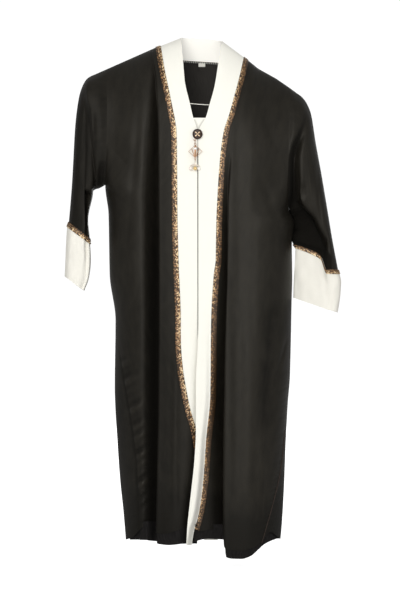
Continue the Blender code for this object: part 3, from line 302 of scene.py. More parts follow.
# Sleeves: a row for each ring after the armhole. outer, fold, under and inner are corners of the ring's
# front as it shows, front and back its depths, crease a furrow at the fold, step how far under lies back.
RING_COLUMNS = np.array([0.0, 0.06, 0.16, 0.28, 0.42, 0.56, 0.70, 0.85, 1.0])
Ring = namedtuple("Ring", "outer fold under inner front crease step back aside", defaults=(0,))
SLEEVE_LEFT = (
    Ring((97, 73.5), (97, 97), (99, 114), (101.5, 187.2), 29.5, 0, 0, 23),
    Ring((87.5, 78.3), (87, 96), (91, 112), (98.5, 188.6), 28, 3, 0, 22),
    Ring((80, 93), (85.6, 112), (88.8, 124), (96, 189.2), 23, 6, 0, 21),
    Ring((75.3, 125), (85.2, 146), (87.6, 156), (94.8, 189.9), 22, 8, 0, 20),
    Ring((73.3, 160), (84.4, 184.5), (85.8, 188), (93.6, 190.6), 20, 9, 0, 19),
    Ring((72.2, 180), (84.3, 193.5), (85.2, 195), (92.5, 197.5), 19, 8, 9, 18),
    Ring((70.5, 203), (84.5, 216), (85.5, 217), (88.2, 219.5), 18, 5, 8, 17),
    Ring((68.8, 222.4), (84.6, 234.8), (86, 236), (90, 239.2), 17, 2, 4, 17),
)
SLEEVE_RIGHT = (
    Ring((296, 92.5), (293.5, 172), (293.2, 190), (289.2, 211.5), 29, 0, 0, 22, 6),
    Ring((303, 98), (298, 173), (299.2, 190), (289.8, 214.5), 28, 0, 0, 22, 9),
    Ring((310.5, 112), (300.5, 198), (300, 203), (290.6, 218.0), 26, 0, 3, 21, 14),
    Ring((316, 144), (307, 209), (305, 211.5), (291.4, 222.0), 23, 0, 8, 20, 17),
    Ring((322, 177), (313.8, 216.8), (311.5, 219.5), (291.6, 227.5), 21, 0, 10, 18, 17),
    Ring((327.2, 208), (320, 229.2), (317.5, 231.5), (291.4, 233), 18, 0, 9, 16, 12),
    Ring((332.5, 240), (327, 245.5), (323.5, 247.5), (291.4, 239), 15, 0, 7, 14, 8),
    Ring((338.2, 270.3), (326.3, 269.3), (320, 255), (293.4, 244.6), 13, 0, 5, 12, 0),
)
CUFF_LEFT = (
    Ring((67.2, 227), (83.8, 239.4), (85.8, 240.9), (90.2, 244.4), 17, 2, 4, 17),
    Ring((65.9, 246), (83, 255.5), (86.5, 257.5), (91, 259.5), 17, 1, 3, 17),
    Ring((65.3, 262), (80.5, 271.5), (86, 275), (89.2, 277), 16, 0, 2, 17),
    Ring((64.6, 276.4), (77.5, 286.2), (82, 289.4), (84.4, 290.7), 16, 0, 2, 16),
)
CUFF_RIGHT = (
    Ring((339.6, 274.3), (327, 273.8), (320.8, 259.8), (295.5, 248.4), 13, 0, 4, 12),
    Ring((341.2, 282), (328, 284), (321, 275), (294.8, 262.5), 11, 0, 2, 11),
    Ring((340.4, 295), (327.5, 297.5), (318, 291), (293.8, 281), 10, 0, 0, 10),
    Ring((337.8, 312.5), (327.5, 309.6), (316, 305.6), (293.3, 297.7), 10, 0, 0, 9),
)

# The furrow that runs down the right sleeve from the armhole
ARM_FURROW = curve((116, 306), (133, 301.5), (146, 297), (157, 294.3), (170, 293.6), (208, 294.5))
ARM_FURROW_DEEP = curve((112, 0), (133, 4), (150, 8), (190, 9), (208, 4))
ARM_FURROW_WIDE = 4.2
ARM_FURROW_TOP = 110.0
ARM_FURROW_FOOT = 214.0

# Height below which the right sleeve's painted shade starts
ARM_SHADE_TOP = 106.0

# Collar at the back of the neck: place on the neckline, then the free edge's place, height and depth
COLLAR_EDGE = np.array((
    (160.9, 181.0, 38.0, -0.4), (164, 180.8, 37.8, -5), (169, 181.3, 37.7, -10), (177, 184.5, 37.9, -15),
    (187, 190, 38.3, -17.5), (201, 201, 39.1, -18.5), (215, 213, 40.0, -17.5), (227, 219.5, 40.6, -14),
    (237, 221.7, 41.0, -9), (243.5, 222.2, 41.2, -4), (248, 222.0, 41.0, -0.4)))
NECK_COLUMNS = COLLAR_EDGE[:, 0]
BACK_COLUMNS = np.concatenate([[145, 152], NECK_COLUMNS, [252]])

# Tab, tag and tape: the box of each on the front, in steps
Patch = namedtuple("Patch", "left right top foot")
TAB = Patch(186.5, 210.5, 117.6, 147.0)
TAG = Patch(198.5, 205.2, 62.75, 66.85)
TAPE = Patch(186.3, 213.7, 103.0, 105.0)
TAG_OUT = 1.35
TAG_THICK = 0.0010
TAPE_WIDE = 0.55
TAPE_OUT = 37.45
TAPE_THICK = 0.0012

# The collar's stitches: from where to where, how far off the back and how wide, in steps, and their height
# in metres
STITCHED = (183.2, 218.8)
STITCHES_OUT = 1.2
STITCHES_WIDE = 1.9
STITCHES_HIGH = 0.0006

# The right side seam's cord: its top, length and half width in steps, and its height in metres
CORD_TOP = 430.0
CORD_LONG = 113.0
CORD_HALF = 0.34
CORD_HIGH = 0.0011

# The button on its shank: radius and depth of its outline, in steps
BUTTON = (197.5, 134.0)
BUTTON_TURN = ((0.02, 40.12), (1.1, 40.12), (1.1, 41.6), (4.5, 41.7), (5.0, 42.05), (5.15, 42.5),
               (5.1, 42.95), (4.75, 43.4), (4.35, 43.52), (4.05, 43.3), (3.9, 43.25), (2.0, 43.38),
               (0.02, 43.42))
BUTTON_FACE = 43.1

# The charm's wire rings and stones, in steps
CHARM_OUT = 43.0
WIRE = 0.25
WireRing = namedtuple("WireRing", "x y long wide upright body")
WIRE_RINGS = {
    "charm_eye": WireRing(194.9, 139.9, 1.0, 1.0, False, "robe"),
    "charm_link": WireRing(195.0, 142.025, 1.775, 1.0, True, "link"),
    "drop_link": WireRing(195.1, 159.9, 1.25, 1.0, True, "drop"),
}
CRYSTAL_AT = (195.35, 148.5)
CRYSTAL = ((0.02, 43.5), (1.0, 43.5), (1.15, 43.8), (0.7, 44.25), (0.02, 44.3))
Pearl = namedtuple("Pearl", "x y out radius")
PEARLS = {
    "pearl_gold": Pearl(195.1, 168.4, 43.4, 2.0),
    "pearl_white": Pearl(199.0, 168.4, 42.4, 1.8),
    "pearl_rose": Pearl(190.6, 168.3, 43.0, 1.8),
}

# The large lights: place, height of what each looks at, size, the setting that holds its power, how many
# times that power it has, and colour
Lamp = namedtuple("Lamp", "where aim size power times colour")
LAMPS = {
    "key": Lamp((-0.7, -4.6, 0.5), -0.65, (2.2, 2.2), "key", 1.0, (1.0, 0.99, 0.97)),
    "fill": Lamp((2.6, -3.0, 0.3), -0.6, (2.0, 2.4), "fill", 1.0, (1.0, 0.99, 0.98)),
    "back_light": Lamp((0.4, 4.4, 0.6), -0.6, (2.4, 2.2), "fill", 3.8, (1.0, 1.0, 1.0)),
}

# What differs between the two sides of the picture. strip_end and foot are the strip's and the band's ends,
# fold_at the ring column of the sleeve's fold, and flatter how square the sleeve's rings become.
Half = namedtuple("Half", "sign name outline seam band edge hem strip strip_end foot fold detail dull "
                          "arm_top arm_foot sleeve cuff fold_at flatter sleeve_detail")
LEFT = Half(
    sign=-1, name="left", outline=OUTLINE_LEFT, seam=SEAM_LEFT, band=BAND_LEFT, edge=EDGE_LEFT, hem=HEM_LEFT,
    strip=STRIP_LEFT, strip_end=127.6, foot=540.0, fold=FOLD_LEFT, detail=DETAIL_LEFT, dull=PAINTED_SHADE_LEFT,
    arm_top=69.1, arm_foot=185.0, sleeve=SLEEVE_LEFT, cuff=CUFF_LEFT, fold_at=3, flatter=3.4,
    sleeve_detail=DETAIL_SLEEVE_LEFT)
RIGHT = Half(
    sign=1, name="right", outline=OUTLINE_RIGHT, seam=SEAM_RIGHT, band=BAND_RIGHT, edge=EDGE_RIGHT,
    hem=HEM_RIGHT, strip=STRIP_RIGHT, strip_end=278.8, foot=544.8, fold=FOLD_RIGHT, detail=DETAIL_RIGHT,
    dull=PAINTED_SHADE_RIGHT, arm_top=88.1, arm_foot=208.0, sleeve=SLEEVE_RIGHT, cuff=CUFF_RIGHT, fold_at=6,
    flatter=2.4, sleeve_detail=DETAIL_SLEEVE_RIGHT)
HALVES = (LEFT, RIGHT)


def thickness(name, what, value, high):
    """A cloth's thickness that a user can change."""
    return FloatProperty(name=name, description=what, default=value, min=0.0005, max=high,
                         subtype="DISTANCE", unit="LENGTH")


def depth(name, what, value):
    """A depth of small forms that a user can change."""
    what = f"{what}, in steps of 2.6 mm"
    return FloatProperty(name=name, description=what, default=value, min=0.0, max=1.0)


def colour(name, what, value):
    """A colour that a user can change."""
    return FloatVectorProperty(name=name, description=what, default=value, size=3, min=0.0, max=1.0,
                               subtype="COLOR")


def power(name, what, value):
    """A light's power that a user can change."""
    return FloatProperty(name=name, description=what, default=value, min=0.0, max=1000.0, subtype="POWER",
                         unit="POWER")


class RobeSizes(bpy.types.PropertyGroup):
    """Sizes of the robe's cloth and trim."""

    satin: thickness("Satin", "Thickness of the satin", 0.0015, 0.003)
    band: thickness("Band", "Thickness of the folded ivory cloth", 0.0020, 0.004)
    braid: thickness("Braid", "Thickness of the braid", 0.0016, 0.003)
    ripple: depth("Ripple", "Depth of the satin's small ripples", 0.06)
    pucker: depth("Pucker", "Depth of the puckers along seams", 0.45)


class RobeColours(bpy.types.PropertyGroup):
    """Colours of the robe's cloth, trim and charm."""

    satin: colour("Satin", "Shiny side of the black satin", (0.0112, 0.0098, 0.0074))
    matte: colour("Matte side", "Matte side of the satin", (0.0100, 0.0092, 0.0090))
    # The inner side is the satin's own matte side, made lighter than the strips' as painted light for the
    # shaded hollow
    inner: colour("Inner side", "Inner side of fronts, back and sleeves", (0.0330, 0.0305, 0.0280))
    ivory: colour("Ivory", "Bands and collar", (0.80, 0.79, 0.725))
    cuff: colour("Cuffs", "Cuffs, a little greyer than the bands", (0.82, 0.80, 0.73))
    copper: colour("Copper", "Copper thread of the braid", (0.28, 0.150, 0.064))
    bead: colour("Bead", "Palest thread and beads of the braid", (0.82, 0.64, 0.39))
    gold: colour("Gold", "The charm's metal", (0.47, 0.28, 0.17))
    button: colour("Button", "The button", (0.026, 0.011, 0.006))
    inlay: colour("Inlay", "The button's pale petals", (0.72, 0.53, 0.34))


class StageSettings(bpy.types.PropertyGroup):
    """Light and floor."""

    key: power("Key light", "Power of the large light at the front", 130.0)
    fill: power("Fill light", "Power of the light on the other side", 16.0)
    sky: FloatProperty(name="Room light", description="Strength of the even light of the white room",
                       default=0.48, min=0.0, max=5.0)


def sizes():
    """The sizes that are set."""
    return bpy.context.scene.robe_sizes


def place(x, y, out):
    """Metres of a point that shows at step (x, y) and stands out steps in front of the middle plane."""
    x, y, out = np.broadcast_arrays(np.asarray(x, float), np.asarray(y, float), np.asarray(out, float))
    near = 1 - out / VIEWER
    return np.stack([(x - MIDDLE_X) * near, -out, (LEVEL_Y - y) * near + HOLD_Y - LEVEL_Y], axis=-1) * STEP


def round_in(t):
    """A quarter of a circle: 0 at the edge, rising steeply, and 1 from t = 1 on."""
    return np.sqrt(1 - (1 - np.clip(t, 0, 1)) ** 2)


def ease(t):
    """A smooth rise from 0 to 1."""
    t = np.clip(t, 0, 1)
    return t * t * (3 - 2 * t)


def bell(t):
    """A bell: 1 in the middle, fading to 0 within two or three widths."""
    return np.exp(-t * t)


def unit(v):
    """A vector or an array of vectors at length 1."""
    return v / np.maximum(np.linalg.norm(v, axis=-1, keepdims=True), 1e-12)


def by_side(x, value):
    """The left side's values where x lies left of the middle, and the right side's elsewhere."""
    return np.where(x < MIDDLE_X, value(LEFT), value(RIGHT))


def stand_off(x, y, out, fall):
    """How far the plain cloth stands off the middle plane: rounded over the shoulder and at both sides."""
    full = out * round_in((y - RIDGE(x)) / fall)
    left, right = OUTLINE_LEFT(y), OUTLINE_RIGHT(y)
    on_left = x < (left + right) / 2
    arm_top = np.where(on_left, LEFT.arm_top, RIGHT.arm_top)
    arm_foot = np.where(on_left, LEFT.arm_foot, RIGHT.arm_foot)
    inside = np.clip(np.where(on_left, x - left, right - x) / SIDE_ROUND, 0, 1)
    flat = ease((arm_foot - 4 + 20 * inside - y) / ARM_FADE)
    side = round_in(inside) * (1 - flat) + (1 - (1 - inside) ** 1.5 + ease(inside)) / 2 * flat
    top = np.minimum(RIDGE(x), arm_top)
    t = np.clip((y - top) / (arm_foot + ARM_FADE * inside - top), 0, 1)
    arm = np.maximum(ARMHOLE_OUT * (4 * t * (1 - t)) ** (0.5 + 1.2 * inside), 1e-3)
    arm = (arm ** -4 + np.maximum(full, 1e-3) ** -4) ** -0.25
    return np.minimum(arm, full) + (full - np.minimum(arm, full)) * side


def front_out(x, y):
    """How far the plain front stands in front of the middle plane."""
    return stand_off(x, y, FRONT_OUT, FRONT_FALL)


def back_out(x, y):
    """How far the plain back stands in front of the middle plane, which is below 0."""
    return -stand_off(x, y, BACK_OUT, BACK_FALL)


def fold_at(fold, y):
    """Crest, width, depth and lean of a deep fold at height y."""
    return [np.interp(y, fold[0], column) for column in fold[1:]]


def lean_fold(fold, x, y):
    """Shift and depth of a deep fold: a bell-shaped furrow whose floor is pushed under the crest."""
    crest, wide, deep, lean = fold_at(fold, y)
    furrow = bell((x - crest) / wide + OVERHANG / 2 * lean)
    return wide * lean * furrow, deep * furrow


def fold_span(fold, y, t):
    """Plain place x of part t of a deep fold, counted in widths from its floor."""
    crest, wide, _, lean = fold_at(fold, y)
    return crest + wide * (t - OVERHANG / 2 * lean)


def furrows(table, x, y):
    """Depth of soft folds: bell-shaped across, fading in at the top of the line and out at its foot."""
    total = np.zeros(np.broadcast(x, y).shape)
    for row in table:
        at, centre = np.array(row.line, float).T
        t = (y - at[0]) / (at[-1] - at[0])
        across = (x - np.interp(y, at, centre)) / row.wide
        total = total + row.deep * ease(4 * t) * ease(4 * (1 - t)) * bell(across)
    return total


def waves(x, y, seed, count, short, long_, slant):
    """Small irregular ripples: a sum of sine waves of different widths, all running nearly straight down."""
    rng = np.random.default_rng(seed)
    total = np.zeros(np.broadcast(x, y).shape)
    for wide, lean, phase in zip(rng.uniform(short, long_, count), rng.uniform(-slant, slant, count),
                                 rng.uniform(0, 2 * math.pi, count)):
        total = total + np.sin(2 * math.pi * (x + lean * y) / wide + phase)
    return total / math.sqrt(count)


def puckers(across, y, reach, pitch, seed):
    """Short creases that run off a seam: sine waves down it, strongest beside it and gone within reach."""
    rng = np.random.default_rng(seed)
    total = np.zeros(np.broadcast(across, y).shape)
    for scale, phase in zip((1.0, 0.62, 1.7), rng.uniform(0, 2 * math.pi, 3)):
        total = total + np.sin(2 * math.pi * (y + 0.5 * across) / (pitch * scale) + phase)
    return total * bell(across / reach) * 0.5


def side_seam(half, y):
    """Place of a side seam, never outside the outline; above the armhole's foot it is the outline."""
    inner = np.maximum if half is LEFT else np.minimum
    return np.where(y < half.arm_foot, half.outline(y), inner(half.seam(y), half.outline(y)))


def seam_dents(beside, y):
    """Short slanting dents beside the left side seam, from the knee down."""
    part = ease((y - KNEE - 5) / 25) * ease((535 - y) / 40) * ease((beside + 1) / 3)
    return puckers(beside - 4, y, 8, 15, 61) * part


def shade_painted_on(half, x, y):
    """Painted shade on a front and on the back beside it: the table's, a line along the side seam and the
    dents by it.
    """
    beside = x - side_seam(half, y)
    dull = furrows(half.dull, x, y)
    if half is LEFT:
        dull = dull + 0.45 * bell(beside / 0.7) * ease((y - KNEE) / 25) + 0.40 * seam_dents(beside, y)
    return dull


def small_forms(half, x, y):
    """Ripples all over a front, and puckers along its side seam and along its hem."""
    s = sizes()
    inner = ease((np.abs(x - by_side(x, lambda side: side.band(y))) - 2) / 10)
    beside = x - side_seam(half, y)
    total = s.ripple * waves(x, y, 3 + half.sign, 5, 9, 26, 0.05) * inner * ease((y - RIDGE(x)) / 30)
    total = total * ease(np.abs(beside) / 8)
    total = total + s.pucker * puckers(beside, y, 7, 9, 11 + half.sign) * ease((y - KNEE) / 40)
    if half is LEFT:
        total = total + 2.4 * s.pucker * seam_dents(beside, y)
    return total + 0.5 * s.pucker * puckers(half.hem(x) - y, x, 4, 5, 21 + half.sign)


def front_surface(half, x, y, fine=True):
    """A front in metres, band and all: plain cloth, deep fold, soft folds, and the edge by the middle.

    Below, the left front's edge tucks under the right one, and the right front's band bends back. fine adds
    the satin's small forms.
    """
    shift, deep = lean_fold(half.fold, x, y)
    if half is LEFT:
        edge = TUCK(y) * ease((x - EDGE_RIGHT(y) + 8) / 22)
    else:
        part = deep / np.maximum(fold_at(half.fold, y)[2], 1e-6)
        past = x > fold_span(half.fold, y, 0.0)
        edge = BEND(y) * ease((x - BAND_RIGHT(y) + 6) / 6) * (1 - part) * np.where(past, part, 1)
    out = front_out(x, y) - deep - edge - furrows(SOFT_FRONT, x, y)
    if fine:
        out = out - furrows(half.detail, x, y) - small_forms(half, x, y)
    return place(x + shift, y, out)


def beside_front(half, x, y):
    """Depth of the back where it comes round to the front, with the front's own forms, so that both meet."""
    plain = front_out(x, y) - furrows(SOFT_FRONT, x, y)
    return plain - furrows(half.detail, x, y) - small_forms(half, x, y)


def shown_on_fold(line, extra):
    """Plain place of a line that shows beside the right fold, as a table over height, found by halving."""
    y = np.arange(30.0, 580.0)
    low, high = fold_span(FOLD_RIGHT, y, -9.0), fold_span(FOLD_RIGHT, y, 0.25)
    for _ in range(40):
        half = (low + high) / 2
        beyond = half + lean_fold(FOLD_RIGHT, half, y)[0] > line(y) + extra
        high, low = np.where(beyond, half, high), np.where(beyond, low, half)
    found = (low + high) / 2
    return lambda at: np.interp(at, y, found)


# The lines between which each front's braid runs: the inner one is the band's seam
BORDER_RIGHT = shown_on_fold(BAND_RIGHT, 0.0)
LANES = {"left": (lambda y: BAND_LEFT(y) - BRAID_WIDE, BAND_LEFT),
         "right": (BORDER_RIGHT, shown_on_fold(BAND_RIGHT, BRAID_WIDE))}


def settle(columns, top, hem, above=ROWS_ABOVE, below=ROWS_BELOW):
    """Places and heights of a grid whose rows lie even parts of the way down, found by going round."""
    part_above = np.append(np.linspace(0, 1, above + 1), np.ones(below))[:, None]
    part_below = np.append(np.zeros(above), np.linspace(0, 1, below + 1))[:, None]
    y = np.linspace(60, 530, above + below + 1)[:, None]
    for _ in range(14):
        x = columns(y)
        top_y, arm_y, hem_y = top(x), ARMPIT(x.real), hem(x)
        y = top_y + part_above * (arm_y - top_y) + part_below * (hem_y - arm_y)
    return columns(y), y


def lanes(y, lines, counts, eased=()):
    """Columns between lines that run down, with counts steps from each line to the next.

    eased names a lane whose columns stand closer at its start (-1) or at its end (1).
    """
    parts = [np.zeros(1)]
    for k, count in enumerate(counts):
        t = np.linspace(0, 1, count + 1)[1:]
        if k in eased:
            t = 1 - np.cos(t * math.pi / 2) if eased[k] < 0 else np.sin(t * math.pi / 2)
        parts.append(k + t)
    at = np.concatenate(parts)
    if y.shape[1] == 1:
        y = np.repeat(y, len(at), axis=1)
    values = np.stack([line(y) for line in lines])
    k = np.minimum(at.astype(int), len(counts) - 1)
    column = np.arange(len(at))
    start, end = values[k, :, column].T, values[k + 1, :, column].T
    return start + (end - start) * (at - k)


def front_columns(half, y):
    """Places across a front's satin, closer where it turns at the side and in the deep fold."""
    def seam(v):
        return side_seam(half, v)

    def in_fold(t):
        return lambda v: fold_span(half.fold, v, t)

    if half is LEFT:
        lines = (seam, in_fold(-FOLD_SPAN), in_fold(FOLD_SPAN), *LANES["left"])
        return lanes(y, lines, (34, 36, 14, 4), {0: -1})
    return lanes(y, (*LANES["right"], in_fold(-0.6), in_fold(FOLD_SPAN), seam), (4, 6, 32, 46), {3: 1})


def satin_grid(half):
    """Places and heights of a front's satin."""
    return settle(lambda y: front_columns(half, y), RIDGE, half.hem)


def grid_normals(points, closed=False):
    """Normals of a grid: the cross product of its mean directions along its rows and columns."""
    if closed:
        ring = np.concatenate([points[:, -1:], points, points[:, :1]], axis=1)
        steps = unit(np.diff(ring, axis=1))
        along = steps[:, 1:] + steps[:, :-1]
    else:
        steps = unit(np.diff(points, axis=1))
        along = np.concatenate([steps[:, :1], steps[:, 1:] + steps[:, :-1], steps[:, -1:]], axis=1)
    steps = unit(np.diff(points, axis=0))
    down = np.concatenate([steps[:1], steps[1:] + steps[:-1], steps[-1:]], axis=0)
    return unit(np.cross(along, -down))


def ridge_normals(x):
    """Upright normals across the shoulder seam, so that front and back meet face to face."""
    slope = (RIDGE(x + 1.5) - RIDGE(x - 1.5)) / 3.0
    return unit(np.stack([slope, np.zeros_like(slope), np.ones_like(slope)], axis=-1))


def seamed_normals(points, x):
    """Normals of a front's grid, upright along its shoulder seam."""
    normals = grid_normals(points)
    normals[0] = ridge_normals(x[0])
    return normals


def arc(points, axis):
    """Length run along a grid from its start, in metres."""
    step = np.linalg.norm(np.diff(points, axis=axis), axis=-1)
    start = np.zeros_like(np.take(step, [0], axis=axis))
    return np.concatenate([start, np.cumsum(step, axis=axis)], axis=axis)


def looped(grid):
    """A grid with its first column again after its last."""
    return np.concatenate([grid, grid[:, :1]], axis=1)


def cells(grid):
    """The four corners of every cell of a grid."""
    return np.stack([grid[:-1, :-1], grid[1:, :-1], grid[1:, 1:], grid[:-1, 1:]], axis=2)


def linked(name, data):
    """A new object for its data, in the scene."""
    piece = bpy.data.objects.new(name, data)
    bpy.context.scene.collection.objects.link(piece)
    return piece


def solid(name, verts, faces, looks, kinds=None, maps=None):
    """A new smooth object from points and faces, with its finishes, each face's finish and its map."""
    mesh = bpy.data.meshes.new(name)
    mesh.from_pydata(np.asarray(verts, float).tolist(), [], faces)
    mesh.shade_smooth()
    for look in looks:
        mesh.materials.append(look)
    if kinds is not None:
        mesh.polygons.foreach_set("material_index", kinds.astype(np.int32))
    if maps is not None:
        layer = mesh.uv_layers.new(name="cloth")
        layer.data.foreach_set("uv", np.ascontiguousarray(maps, dtype=np.float32).ravel())
    mesh.update()
    return linked(name, mesh)


def mark_points(piece, key, values):
    """Keeps a number for each point of a wall's outer and inner side."""
    layer = piece.data.attributes.new(key, "FLOAT", "POINT")
    layer.data.foreach_set("value", np.tile(np.asarray(values, float).ravel(), 2).astype(np.float32))
    return piece


def wall(name, points, thick, looks, normals=None, closed=False, lift=0.0):
    """A closed cloth wall: a grid of outer points, the same grid moved in along its normals, and rims.

    The map "cloth" holds metres along the cloth, across and down. The second finish is for the inner side.
    """
    if normals is None:
        normals = grid_normals(points, closed)
    outer = points + normals * lift
    rows, columns = points.shape[:2]
    verts = np.concatenate([outer.reshape(-1, 3), (outer - normals * thick).reshape(-1, 3)])
    index = np.arange(rows * columns).reshape(rows, columns)
    loop = looped(points) if closed else points
    if closed:
        index = looped(index)
    flat = np.stack([arc(loop, 1), arc(loop, 0)], axis=-1)
    far = index + rows * columns
    skin = cells(index).reshape(-1, 4)
    skin_flat = cells(flat).reshape(-1, 4, 2)
    sample = verts[skin]
    facing = np.cross(sample[:, 2] - sample[:, 0], sample[:, 3] - sample[:, 1])
    turned_in = np.sum(facing * normals.reshape(-1, 3)[skin[:, 0]]) < 0
    edges = [(index[0, :-1], index[0, 1:], far[0, 1:], far[0, :-1]),
             (index[-1, 1:], index[-1, :-1], far[-1, :-1], far[-1, 1:])]
    if not closed:
        edges += [(index[1:, 0], index[:-1, 0], far[:-1, 0], far[1:, 0]),
                  (index[:-1, -1], index[1:, -1], far[1:, -1], far[:-1, -1])]
    rim = np.concatenate([np.stack(e, axis=-1) for e in edges])
    flat_all = np.concatenate([flat[:, :columns].reshape(-1, 2)] * 2)
    faces = np.concatenate([skin, (skin + rows * columns)[:, ::-1], rim])
    maps = np.concatenate([skin_flat, skin_flat[:, ::-1], flat_all[rim]])
    if turned_in:
        faces, maps = faces[:, ::-1], maps[:, ::-1]
    kinds = np.repeat([0, min(1, len(looks) - 1), 0], [len(skin), len(skin), len(rim)])
    piece = solid(name, verts, faces.tolist(), looks, kinds, maps)
    piece.data.polygons.foreach_set("use_smooth", np.repeat([True, False], [2 * len(skin), len(rim)]))
    piece.data.set_sharp_from_angle(angle=SHARP)
    piece["cut_wide"] = float(arc(loop, 1)[:, -1].max())
    piece["cut_long"] = float(arc(points, 0)[-1].max())
    piece["cut_area"] = float(np.linalg.norm(facing, axis=1).sum() / 2)
    return piece


def dress(piece, body, slot, *nodes):
    """Ties a piece to its body and hides the solids that it stands for. slot is not used."""
    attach(piece, body)
    if nodes:
        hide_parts(*nodes)


def hang(piece, slot, name):
    """Dresses a cloth piece of the robe and reads its cut's width, length and area."""
    dress(piece, "robe", slot, name)
    wide, long_ = piece["cut_wide"], piece["cut_long"]
    min(piece["cut_area"], wide * long_)


def node(tree, kind, inputs=None, **settings):
    """A new shader node: settings are its own values, and inputs are numbers or other nodes' sockets."""
    made = tree.nodes.new("ShaderNode" + kind)
    for key, value in settings.items():
        setattr(made, key, value)
    for key, value in (inputs or {}).items():
        if isinstance(value, bpy.types.NodeSocket):
            tree.links.new(value, made.inputs[key])
        else:
            made.inputs[key].default_value = value
    return made


def finish(name, colour, roughness, **sockets):
    """A new material and its tree and main shader. Numbers that are the same all over sit on the shader."""
    material = bpy.data.materials.new(name)
    material.use_nodes = True
    tree = material.node_tree
    shader = tree.nodes["Principled BSDF"]
    shader.inputs["Base Color"].default_value = (*colour, 1.0)
    shader.inputs["Roughness"].default_value = roughness
    for key, value in sockets.items():
        shader.inputs[key.replace("_", " ")].default_value = value
    return material, tree, shader


def on_map(tree, across, down):
    """The piece's own map in metres, multiplied across and down."""
    source = node(tree, "UVMap", uv_map="cloth")
    return node(tree, "Mapping", {"Vector": source.outputs[0], "Scale": (across, down, 1.0)}).outputs[0]


def noise(tree, where, detail, scale=1.0):
    """A cloudy pattern."""
    return node(tree, "TexNoise", {"Vector": where, "Scale": scale, "Detail": detail}).outputs[0]


def threads(tree, scale, distortion, direction):
    """Even bands along the cloth, as its threads make."""
    return node(tree, "TexWave", {"Vector": on_map(tree, 1, 1), "Scale": scale, "Distortion": distortion},
                wave_type="BANDS", bands_direction=direction).outputs[1]


def marked(tree, key):
    """The number that each point keeps under a name."""
    return node(tree, "Attribute", attribute_name=key, attribute_type="GEOMETRY").outputs[2]


def reckon(tree, operation, a, b, clamp=False):
    """One sum or product."""
    return node(tree, "Math", {0: a, 1: b}, operation=operation, use_clamp=clamp).outputs[0]


def spread_to(tree, value, low, high):
    """A pattern from 0 to 1 spread from low to high."""
    return node(tree, "MapRange", {"Value": value, "To Min": low, "To Max": high}).outputs[0]


def times(colour, part):
    """A colour multiplied, with its alpha."""
    return (*(min(1.0, c * part) for c in colour), 1.0)


def blend(tree, shader, factor, low, high):
    """Base colour that runs from low to high with a pattern."""
    mix = node(tree, "Mix", {"Factor": factor, 6: low, 7: high}, data_type="RGBA")
    tree.links.new(mix.outputs[2], shader.inputs["Base Color"])


def relief(tree, shader, *rows):
    """Stacks reliefs (height, distance in metres, strength) and joins them to the shader's normal."""
    last = {}
    for height, distance, strength in rows:
        inputs = {"Height": height, "Distance": distance, "Strength": strength, **last}
        last = {"Normal": node(tree, "Bump", inputs).outputs[0]}
    tree.links.new(last["Normal"], shader.inputs["Normal"])


def satin_finish(colour):
    """Black satin: a fine twill with long floats, slight streaks down the cloth and a soft broad gloss."""
    material, tree, shader = finish("black_satin", colour, 0.46, Specular_IOR_Level=0.17,
                                    Specular_Tint=(1.0, 0.965, 0.89, 1.0))
    streak = noise(tree, on_map(tree, 420, 14), 3.0)
    mottle = noise(tree, on_map(tree, 60, 22), 4.0)
    twill = threads(tree, 330.0, 0.6, "DIAGONAL")
    # Painted shade: the marks darken the base colour, and below 0 paint a highlight; they also roughen the
    # gloss
    dull = marked(tree, "dull")
    # The 'hem' mark is painted shade that darkens the satin towards its hem
    shade = reckon(tree, "MULTIPLY", reckon(tree, "ADD", marked(tree, "hem"), dull), -0.9)
    blend(tree, shader, reckon(tree, "ADD", mottle, shade, True), times(colour, 0.45), times(colour, 1.55))
    rough = spread_to(tree, streak, 0.44, 0.58)
    rough = reckon(tree, "ADD", rough, reckon(tree, "MULTIPLY", dull, 0.42), True)
    tree.links.new(rough, shader.inputs["Roughness"])
    relief(tree, shader, (mottle, 0.0012, 0.18), (streak, 0.0004, 0.25), (twill, 0.0001, 0.25))
    return material


def matte_finish(name, colour, streaks=500, spread=1.5):
    """The satin's matte side: a fine weave with streaks down the cloth."""
    material, tree, shader = finish(name, colour, 0.85, Specular_IOR_Level=0.10)
    streak = noise(tree, on_map(tree, streaks, 30), 4.0)
    weave = threads(tree, 330.0, 0.8, "DIAGONAL")
    blend(tree, shader, streak, times(colour, 2.1 - spread), times(colour, spread))
    relief(tree, shader, (streak, 0.0004, 0.35), (weave, 0.0001, 0.3))
    return material


def ivory_finish(name, colour, painted_glow=0.0):
    """Ivory plain weave: threads across and down, some slightly thick, and a painted glow that lightens it.
    """
    material, tree, shader = finish(name, colour, 0.72, Specular_IOR_Level=0.2,
                                    Emission_Color=(*colour, 1.0), Emission_Strength=painted_glow)
    weave = reckon(tree, "MULTIPLY", threads(tree, 260.0, 0.5, "X"), threads(tree, 260.0, 0.5, "Y"))
    slub = noise(tree, on_map(tree, 90, 600), 3.0)
    # The mark darkens the cloth: painted shadow, on the tab where the bands shade it
    tone = reckon(tree, "SUBTRACT", spread_to(tree, slub, 0.88, 1.0), marked(tree, "dull"), True)
    blend(tree, shader, tone, times(colour, 0.55), times(colour, 1.03))
    relief(tree, shader, (slub, 0.0003, 0.25), (weave, 0.00015, 0.35))
    return material


